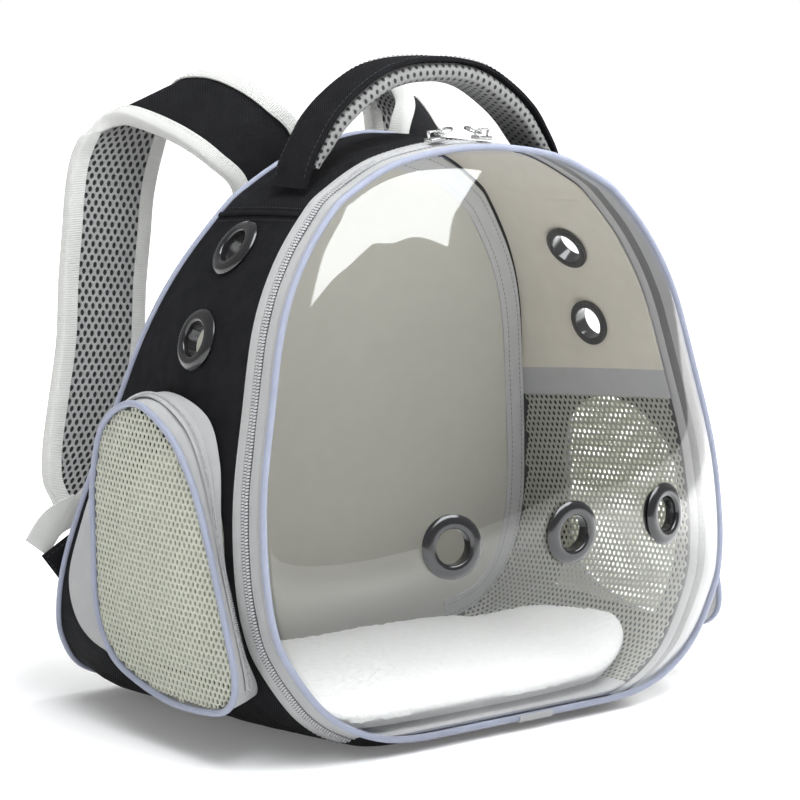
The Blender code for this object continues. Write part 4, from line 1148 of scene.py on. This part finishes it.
def capped(name, net, finish, nodes):
    """A closed soft solid from rings, with a pole at each end and a UV map in metres."""
    net = as_array(net)
    rows, columns = net.shape[:2]
    points = [tuple(p) for p in net.reshape(-1, 3)] + [tuple(net[0].mean(axis=0)), tuple(net[-1].mean(axis=0))]
    first, last = len(points) - 2, len(points) - 1
    coords = np.array(points)
    spans = coords.max(axis=0) - coords.min(axis=0)
    a, b = sorted(np.argsort(spans)[1:])
    faces = []
    for r in range(rows - 1):
        for c in range(columns):
            d = (c + 1) % columns
            faces.append([r * columns + c, r * columns + d, (r + 1) * columns + d, (r + 1) * columns + c])
    for c in range(columns):
        d = (c + 1) % columns
        faces.append([first, d, c])
        faces.append([last, (rows - 1) * columns + c, (rows - 1) * columns + d])
    flats = [(coords[i][a], coords[i][b]) for face in faces for i in face]
    return outward(new_piece(name, points, faces, flats, finish, nodes))


def floor_pad():
    """A plump plush pad, tufted all over, that follows the floor's rising sides."""
    tree = side_tree(CABIN_MARGIN, -CABIN_DEPTH, 240, 30)
    middle_y = -0.0005
    half_y = 0.0925

    def ring(share, lift):
        points = []
        for c, s in circle(360):
            reach = share * (abs(c) ** 3.4 + abs(s) ** 3.4) ** (-1 / 3.4)
            x, y = reach * c * 0.153, middle_y + reach * s * half_y
            ground = tree.ray_cast(Vector((x, y, 0.11)), Vector((0.0, 0.0, -1.0)))[0]
            points.append(Vector((x, y, (ground.z if ground else CABIN_DEPTH) + lift)))
        return points

    under = [ring(s, 0.0009 + PAD_HEIGHT * h) for s, h in ((0.05, 0.0), (0.3, 0.0), (0.55, 0.0), (0.80, 0.01),
                                                      (0.90, 0.07), (0.96, 0.2), (0.99, 0.38))]
    over = []
    for share, height in [(1.0, 0.55), (0.998, 0.64), (0.99, 0.74), (0.975, 0.83), (0.955, 0.90), (0.93, 0.95)] + \
            [(0.90 - 0.85 * k / 60, 1.0) for k in range(61)]:
        row = ring(share, PAD_HEIGHT * height)
        for k, point in enumerate(row):
            broad = 0.0014 * ripple(point, 0.045, 1.0)
            tuft = 0.0010 * ripple(point, 0.0042, 5.0) + 0.0007 * ripple(point, 0.0019, 8.0)
            row[k] = point + Vector((0.0, 0.0, broad + tuft - 0.0010))
        over.append(row)
    pad = capped("plush_pad", under + over, WHITE_PLUSH, ["floor_pad"])


# Side pockets
def pocket_outlines(inset, count=240):
    """Points of the pocket's piped ring and of its foot, as (y, z), drawn in by a distance."""
    shape = [curve_at(POCKET_SHAPE, k * len(POCKET_SHAPE) / count, True) for k in range(count)]
    made = []
    for column in (0, 2):
        spots = [Vector((POCKET_Y - row[column] * POCKET_WIDTH, POCKET_Z + row[column + 1] * POCKET_HEIGHT))
                 for row in shape]
        drawn = []
        for k in range(count):
            along = spots[(k + 1) % count] - spots[k - 1]
            drawn.append(spots[k] - Vector((-along.y, along.x)).normalized() * inset)
        made.append(drawn)
    return made


def inside_outline(outline, y, z):
    """Whether a point lies inside a closed outline."""
    inside = False
    for k in range(len(outline)):
        a, b = outline[k - 1], outline[k]
        if (a.y > z) != (b.y > z) and y < (b.x - a.x) * (z - a.y) / (b.y - a.y) + a.x:
            inside = not inside
    return inside


def pocket_face(sign, low, high, k, share):
    """A point of the pocket's wall at a share of its depth, and the direction out of the wall."""
    count = len(low)
    along = high[(k + 1) % count] - high[(k - 1) % count]
    rise = high[k % count] - low[k % count]
    return low[k % count].lerp(high[k % count], share), along.cross(rise).normalized() * -sign


def pocket(sign, label, tree):
    """A side pocket: its wall, its piping, its domed net and its zip."""
    def side_x(y, z):
        return tree.ray_cast(Vector((sign, y, z)), Vector((-sign, 0.0, 0.0)))[0].x

    ring, foot = pocket_outlines(0.0)
    count = len(ring)
    low = [Vector((side_x(p.x, p.y) + sign * 0.0027, p.x, p.y)) for p in foot]
    high = [Vector((sign * (POCKET_OUT - 0.0024), p.x, p.y)) for p in ring]
    rows = []
    for share in spread(0.0, 1.0, 12):
        row = []
        for k in range(count):
            point, out = pocket_face(sign, low, high, k, share)
            slack = math.sin(math.pi * share) * (0.0006 + 0.0009 * ripple(point, 0.020, 3.0))
            row.append(point + out * slack)
        rows.append(row)
    wall("pocket_side_" + label, rows, 0.0014, GREY_CLOTH, ["pocket_gusset_" + label], around=True,
         flip=sign > 0)
    round_cord("pocket_cord_" + label, [Vector((sign * POCKET_OUT, p.x, p.y)) for p in ring], PIPING_RADIUS, PIPING,
               ["pocket_piping_" + label])
    edge = pocket_outlines(0.0024)[0]
    middle = sum(edge, Vector((0.0, 0.0))) / count
    angles = [math.atan2((p - middle).y, (p - middle).x) for p in edge]
    reaches = [(p - middle).length for p in edge]

    def spot(a, b):
        spoke = Vector((a, b)) - middle
        reach = float(np.interp(math.atan2(spoke.y, spoke.x), angles, reaches, period=2 * math.pi))
        if spoke.length > reach:
            spoke = spoke * (reach / spoke.length)
        y, z = middle + spoke
        share = min(spoke.length / max(reach, 1e-6), 1.0)
        crown = 0.004 * (1 - share ** 2.2) + 0.0004 * ripple((y, z, 1.0), 0.03)
        return Vector((sign * (POCKET_OUT + crown), y, z)), Vector((sign, 0.0, 0.0))

    pitch = 0.0042
    seen = pocket_outlines(0.0030)[0]
    cells = [(a, b) for a, b in hex_cells(-0.11, 0.06, 0.025, 0.21, pitch) if inside_outline(seen, a, b)]
    punched("pocket_net_" + label, cells, spot, (pitch * 0.30, pitch * 0.36), 0.0009, CREAM_KNIT,
            ["pocket_mesh_" + label], pitch, flip=sign < 0)
    pocket_zip(sign, label, low, high)


def pocket_zip(sign, label, low, high):
    start, end = (int(place / 15 * len(low)) for place in (9.5, 16.2))

    def line(share, lift):
        spots = [pocket_face(sign, low, high, k, share) for k in range(start, end + 1)]
        return [(point + out * lift, out) for point, out in spots]

    rows = [[point for point, out in line(share, 0.0022)] for share in spread(0.36, 0.66, 4)]
    wall("pocket_zip_tape_" + label, rows, 0.0009, GREY_TAPE, ["pocket_zip_" + label], flip=sign > 0)
    stitches("pocket_coil_" + label, line(0.51, 0.0026), COIL, 0.0010, 0.0004, 0.0009)
    for share in (0.40, 0.62):
        stitches("pocket_stitches_%s_%d" % (label, round(share * 100)), line(share, 0.0024), GREY_THREAD)


# Handle
def handle():
    """The handle's cloth and its mesh-covered pad, swept along one curve."""
    shape = [(-a, u, t) for a, u, t in reversed(HANDLE_SHAPE[1:])] + list(HANDLE_SHAPE)
    steps = 12
    path = []
    pads = []
    for k in range((len(shape) - 1) * steps + 1):
        across, up, thick = curve_at(shape, k / steps, False)
        path.append(Vector((across * HANDLE_REACH, HANDLE_Y, HANDLE_Z + up * HANDLE_RISE)))
        pads.append(thick)
    normals = []
    for k in range(len(path)):
        along = path[min(k + 1, len(path) - 1)] - path[max(k - 1, 0)]
        normals.append(Vector((-along.z, 0.0, along.x)).normalized())

    def bar(name, finish, width, high, low, node, first, bulge, edge):
        sections = []
        for k in range(first, len(path) - first):
            half = width / 2 * (1.0 + 0.015 * ripple((k * 0.01, 0.0, 0.3), 0.05))
            deep = low(pads[k])
            corners = []
            for c, s in circle(24):
                u = math.copysign(abs(c) ** edge, c) * half
                n = math.copysign(abs(s) ** edge, s)
                depth = high + (deep - high) * (1 - n) / 2 - bulge * (1 - (u / half) ** 2) * n
                corners.append(path[k] - normals[k] * depth + Vector((0.0, u, 0.0)))
            sections.append(corners)
        return tube(name, sections, finish, [node])

    pad = bar("handle_pad", HANDLE_KNIT, 0.031, 0.0032, lambda t: 0.0033 + 0.0115 * t, "handle_lining",
              steps, 0.0006, 0.5)
    bar("handle_cloth", BLACK_CLOTH, 0.034, 0.0, lambda t: 0.003, "handle_cover", 0, 0.0004, 0.35)
    for side in (-1, 1):
        seam = [(path[k] + normals[k] * 0.0004 + Vector((0.0, side * 0.0142, 0.0)), normals[k])
                for k in range(6, len(path) - 6)]
        stitches("handle_stitches_%s" % ("front" if side < 0 else "back"), seam, BLACK_THREAD)


# Shoulder straps
def from_shares(across, up, back):
    return Vector((-across * BACK_WIDTH / 2, back * STRAP_DEPTH, RIM_LIFT + up * BACK_HEIGHT))


def strap_frames(steps):
    """Middle, direction across, direction out, direction along and half width, all along the strap."""
    places = [k / steps for k in range((len(STRAP_SHAPE) - 1) * steps + 1)]
    shape = [curve_at(STRAP_SHAPE, place, False) for place in places]
    middles = [from_shares(*row[:3]) for row in shape]
    frames = []
    for k, row in enumerate(shape):
        rise, swing = math.radians(row[3]), math.radians(row[4])
        inwards = Vector((math.cos(rise) * math.cos(swing), math.cos(rise) * math.sin(swing), math.sin(rise)))
        along = (middles[min(k + 1, len(middles) - 1)] - middles[max(k - 1, 0)]).normalized()
        out = inwards.cross(along).normalized()
        along = out.cross(inwards).normalized()
        frames.append((middles[k], inwards, out, along, row[5] * STRAP_HALF))
    return frames


def on_side(point, sign):
    return Vector((-sign * point.x, point.y, point.z))


def strap(sign, label):
    frames = strap_frames(12)
    sections = []
    for middle, inwards, out, along, half in frames:
        reach = half - 0.0038
        ring = []
        for c, s in circle(30):
            u = math.copysign(abs(c) ** 0.45, c) * reach
            n = math.copysign(abs(s) ** 0.45, s)
            swell = 0.0006 * (1 - (u / max(reach, 1e-6)) ** 2) * (n > 0)
            height = 0.00335 if n > 0 else -0.00125
            lift = height * abs(n) + swell + 0.0004 * ripple(middle + inwards * u, 0.03) * (n > 0)
            ring.append(on_side(middle + inwards * u + out * lift, sign))
        sections.append(ring)
    pad = tube("strap_cloth_" + label, sections, BLACK_CLOTH, ["strap_pad_" + label])
    reach = [0.0]
    for a, b in zip(frames, frames[1:]):
        reach.append(reach[-1] + (b[0] - a[0]).length)
    index = list(range(len(frames)))

    def spot(a, b):
        k = float(np.interp(b, reach, index))
        low = min(int(k), len(frames) - 2)
        share = k - low
        one, two = frames[low], frames[low + 1]
        middle = one[0].lerp(two[0], share)
        inwards = one[1].lerp(two[1], share).normalized()
        out = one[2].lerp(two[2], share).normalized()
        half = one[4] + (two[4] - one[4]) * share - 0.0042
        u = min(max(a, -half), half)
        return on_side(middle + inwards * u - out * 0.00335, sign), -on_side(out, sign)

    pitch = 0.0050
    cells = []
    for a, b in hex_cells(-0.028, 0.028, pitch * 0.4, reach[-1] - pitch * 0.4, pitch):
        half = frames[min(int(np.interp(b, reach, index)), len(frames) - 1)][4] - 0.0060
        if abs(a) < half:
            cells.append((a, b))
    punched("strap_net_" + label, cells, spot, (pitch * 0.31, pitch * 0.40), 0.0012, GREY_KNIT,
            ["strap_mesh_" + label], pitch, flip=sign < 0)
    backing = []
    for middle, inwards, out, along, half in frames:
        u = half - 0.0042
        backing.append([on_side(middle + inwards * (u * x) - out * 0.0022, sign) for x in spread(-1.0, 1.0, 6)])
    wall("strap_backing_" + label, backing, 0.0006, STRAP_FOAM, (), flip=sign < 0)
    binding(sign, label, frames)


def binding(sign, label, frames):
    """The tape folded over the strap's edge, down one side, round its end and up the other."""
    turns = [(frame, -1.0, 0.0) for frame in frames]
    turns += [(frames[-1], -math.cos(a), math.sin(a)) for a in spread(0.0, math.pi, 16)[1:-1]]
    turns += [(frame, 1.0, 0.0) for frame in reversed(frames)]
    rows = []
    seam = []
    for (middle, inwards, out, along, half), across, down in turns:
        reach = inwards * across + along * down
        profile = [(half - 0.0100, 0.00500), (half - 0.0060, 0.00515), (half - 0.0020, 0.00515),
                   (half - 0.0005, 0.0042), (half, 0.0022), (half + 0.0001, 0.0), (half, -0.0022),
                   (half - 0.0005, -0.0042), (half - 0.0020, -0.00515), (half - 0.0060, -0.00515),
                   (half - 0.0100, -0.00500)]
        inner = [(u - 0.0002 if k in (0, 10) else u - 0.0010 * (3 <= k <= 7),
                  n - math.copysign(0.0010, n) * (k not in (4, 5, 6))) for k, (u, n) in enumerate(profile)]
        rows.append([on_side(middle + reach * u + out * n, sign) for u, n in profile + inner[::-1]])
        seam.append((middle + reach * (half - 0.0084) + out * 0.0052, out))
    tube("strap_tape_" + label, rows, TAPE, ["strap_binding_" + label])
    stitches("strap_stitches_" + label, [(on_side(p, sign), on_side(n, sign)) for p, n in seam], TAPE_THREAD)


def strap_foot(sign, label):
    """The webbing at the strap's lower end, its folded end, and the three-cornered black tab."""
    parts = (("webbing_run_", "strap_webbing_", ((1.065, 0.268, 0.782), (1.0, 0.310, 0.780), (0.9, 0.332, 0.775)),
              0.35),
             ("webbing_end_", "webbing_fold_", ((0.885, 0.318, 0.754), (0.85, 0.322, 0.730), (0.838, 0.322, 0.695)),
              0.0))
    for name, node, rows, lean in parts:
        count = (len(rows) - 1) * 10
        points = [from_shares(*curve_at(rows, k / 10, False)) for k in range(count + 1)]
        sections = []
        for k, point in enumerate(points):
            along = (points[min(k + 1, count)] - points[max(k - 1, 0)]).normalized()
            upright = Vector((lean, 0.0, 1.0))
            across = (upright - along * upright.dot(along)).normalized() * 0.0095
            out = along.cross(across).normalized() * 0.0008
            outline = [(u, 1.0) for u in spread(1.0, -1.0, 8)] + [(u, -1.0) for u in spread(-1.0, 1.0, 8)]
            sections.append([on_side(point + across * u + out * n * (0.7 + 0.3 * (1 - u * u)), sign)
                             for u, n in outline])
        tube(name + label, sections, TAPE, [node + label])
    corners = [from_shares(*row) for row in ((1.060, 0.255, 0.752), (0.900, 0.322, 0.667), (0.865, 0.130, 0.802))]
    out = (corners[1] - corners[0]).cross(corners[2] - corners[0]).normalized()
    middle = sum(corners, Vector()) / 3
    rings = []
    for share, height in ((0.05, 0.9), (0.4, 0.9), (0.8, 0.9), (0.95, 0.8), (1.0, 0.3), (1.0, -0.3), (0.95, -0.8),
                          (0.8, -0.9), (0.4, -0.9), (0.05, -0.9)):
        ring = []
        for k in range(3):
            for part in spread(0.0, 1.0, 10)[:-1]:
                point = middle.lerp(corners[k].lerp(corners[(k + 1) % 3], part), share)
                ring.append(on_side(point + out * 0.001 * height, sign))
        rings.append(ring)
    capped("strap_corner_" + label, rings, BLACK_CLOTH, ["strap_tab_" + label])
    path = []
    for k in range(3):
        path += [middle.lerp(corners[k].lerp(corners[(k + 1) % 3], part), 0.86) for part in spread(0.0, 1.0, 12)]
    for side in (1, -1):
        stitches("corner_stitches_%s_%s" % (label, "out" if side > 0 else "in"),
                 [(on_side(p + out * side * 0.0009, sign), on_side(out * side, sign)) for p in path], BLACK_THREAD)


# Zip sliders and rings
def slider_frame(sign):
    place = place_at_x(sign * 0.018, True)
    spot = side_point(place, COIL_START + 0.0036, 0.0020)
    along = side_point(place + 0.5, COIL_START, 0.0) - side_point(place - 0.5, COIL_START, 0.0)
    turn = Matrix.Rotation(math.atan2(-along.z, along.x), 4, "Y")
    if sign > 0:
        turn = turn @ Matrix.Rotation(math.pi, 4, "Z")
    return Matrix.Translation(spot) @ turn


def slider(sign, label):
    """A slider made from a bevelled block with a bridge over it on two posts, and a ring."""
    place = slider_frame(sign)
    made = []
    for size, centre, bevel in (((0.0108, 0.0084, 0.0024), (0.0, 0.0, 0.0013), 0.0007),
                                ((0.0013, 0.0019, 0.0052), (-0.0047, 0.0, 0.0046), 0.0004),
                                ((0.0013, 0.0019, 0.0052), (0.0047, 0.0, 0.0046), 0.0004),
                                ((0.0107, 0.0019, 0.0012), (0.0, 0.0, 0.0064), 0.0004)):
        bpy.ops.mesh.primitive_cube_add(size=1.0, location=centre, scale=size)
        piece = bpy.context.object
        baked(piece)
        shaped(piece, (bpy.ops.mesh.bevel, {"offset": bevel, "segments": 3, "affect": "EDGES"}))
        made.append(piece)
    for piece in made:
        piece.select_set(True)
    bpy.context.view_layer.objects.active = made[0]
    bpy.ops.object.join()
    body = bpy.context.object
    body.name = "slider_" + label
    body.matrix_world = place
    baked(body)
    body.data.shade_smooth()
    body.data.set_sharp_from_angle(angle=math.radians(40))
    settle(body, STEEL, ["zip_slider_" + label])
    hinge = place @ Vector((0.00195, 0.0, 0.0042))
    tilt = math.radians(20.0)
    reach = Vector((-sign * math.cos(tilt), 0.0, math.sin(tilt)))
    side = Vector((0.0, 1.0, 0.0))
    lift = reach.cross(side).normalized()
    sections = []
    for across, around in circle(72):
        spoke = reach * -across + side * around
        middle = hinge + reach * 0.0052 + spoke * 0.0052
        sections.append([middle + (spoke * c + lift * s) * 0.0008 for c, s in circle(12)])
    tube("ring_pull_" + label, sections, STEEL, ["zip_pull_" + label], closed=True,
         body="pull_" + label)


# Camera, lights and floor
def look(location, right, up, back):
    return Matrix.Translation(location) @ Matrix((right, up, back)).transposed().to_4x4()


def lamp(name, centre, toward, size, power):
    data = bpy.data.lights.new(name, "AREA")
    data.shape = "RECTANGLE"
    data.size, data.size_y = size
    data.energy = power
    item = bpy.data.objects.new(name, data)
    item.location = centre
    item.rotation_euler = (Vector(toward) - Vector(centre)).to_track_quat("-Z", "Y").to_euler()
    item.visible_glossy = False
    bpy.context.scene.collection.objects.link(item)


def softbox(camera):
    """The window-like light whose mirror image shows on the bubble, found by mirroring the view there."""
    tree = tree_of([[bubble_point(s, p) for p in all_round(700)] for s in spread(1.0, 0.001, 60)])
    eye = camera.matrix_world.translation
    turn = camera.matrix_world.to_3x3()
    points = []
    for u, v in ((312, 308), (349, 206), (420, 172), (484, 172), (447, 245), (400, 240), (350, 265)):
        ray = (turn @ Vector(((u - 393.6) / 2927.5, (432.0 - v) / 2927.5, -1.0))).normalized()
        spot, facing = tree.ray_cast(eye, ray)[:2]
        if facing.dot(ray) > 0:
            facing = -facing
        points.append(spot + ray.reflect(facing) * 1.9)
    mesh = bpy.data.meshes.new("softbox")
    mesh.from_pydata([tuple(p) for p in points], [], [[0, 1, 6], [1, 5, 6], [1, 2, 5], [2, 4, 5], [2, 3, 4]])
    panel = bpy.data.objects.new("softbox", mesh)
    bpy.context.scene.collection.objects.link(panel)
    glow = Finish("softbox_glow", (1.0, 1.0, 1.0), 1.0, emission_strength=6.5)
    glow.shader.inputs["Emission Color"].default_value = (0.93, 0.97, 1.0, 1.0)
    panel.data.materials.append(glow.material)


def studio():
    """Camera, air, paper floor and lamps."""
    data = bpy.data.cameras.new("camera")
    data.lens = 131.74
    data.sensor_width = 36.0
    data.shift_x = 0.008
    data.shift_y = 0.040
    data.clip_end = 20.0
    camera = bpy.data.objects.new("camera", data)
    camera.matrix_world = look((-1.1253, -1.4302, 0.4561), (0.7858, -0.6184, -0.0007), (0.0974, 0.1226, 0.9877),
                               (-0.6107, -0.7762, 0.1566))
    bpy.context.scene.collection.objects.link(camera)
    bpy.context.scene.camera = camera
    world = bpy.data.worlds.new("studio_air")
    bpy.context.scene.world = world
    world.use_nodes = True
    air = world.node_tree
    seen = air.nodes.new("ShaderNodeLightPath")
    level = air.nodes.new("ShaderNodeMapRange")
    level.inputs["To Min"].default_value = 0.36
    level.inputs["To Max"].default_value = 1.0
    air.links.new(seen.outputs["Is Camera Ray"], level.inputs["Value"])
    air.links.new(level.outputs[0], air.nodes["Background"].inputs["Strength"])
    air.nodes["Background"].inputs["Color"].default_value = (1.0, 1.0, 1.0, 1.0)
    # The floor glows as well as taking light: painted light, faint round the bag and full white further out.
    floor = Finish("floor_paper", (0.86, 0.86, 0.86), 0.75, emission_strength=1.0)
    far = floor.node("ShaderNodeVectorMath", {"operation": "LENGTH"}, [floor.object_place()], "Value")
    lit = floor.node("ShaderNodeMapRange", {"interpolation_type": "SMOOTHSTEP"},
                     {"Value": far, "From Min": 0.25, "From Max": 1.1, "To Min": 0.12, "To Max": 1.0})
    floor.paint("Emission Color", lit)
    floor.paint("Roughness", floor.cloud(0.15, 2.0) * 0.1 + 0.7)
    bpy.ops.mesh.primitive_plane_add(size=60.0, location=(0.0, 0.0, -0.0002))
    ground = bpy.context.object
    ground.name = "floor"
    ground.data.materials.append(floor.material)
    softbox(camera)
    lamp("lamp_right", (1.6, -0.3, 0.8), (0.15, 0.0, 0.12), (0.9, 0.9), 34.0)
    lamp("lamp_top", (-0.2, -0.1, 1.9), (0.0, 0.0, 0.1), (1.5, 1.2), 18.0)
    lamp("lamp_left", (-1.9, -0.9, 0.45), (-0.19, 0.0, 0.10), (0.8, 0.8), 4.0)
    bpy.context.scene.view_settings.view_transform = "Standard"


OUTER_TREE = side_tree(BACK_MARGIN, 0.0, 560, 40)
door_edge()
bubble()
bag_walls(OUTER_TREE)
back_walls()
floor_pad()
handle()
for SIGN, LABEL in ((-1, "left"), (1, "right")):
    pocket(SIGN, LABEL, OUTER_TREE)
    strap(SIGN, LABEL)
    strap_foot(SIGN, LABEL)
    slider(SIGN, LABEL)
studio()
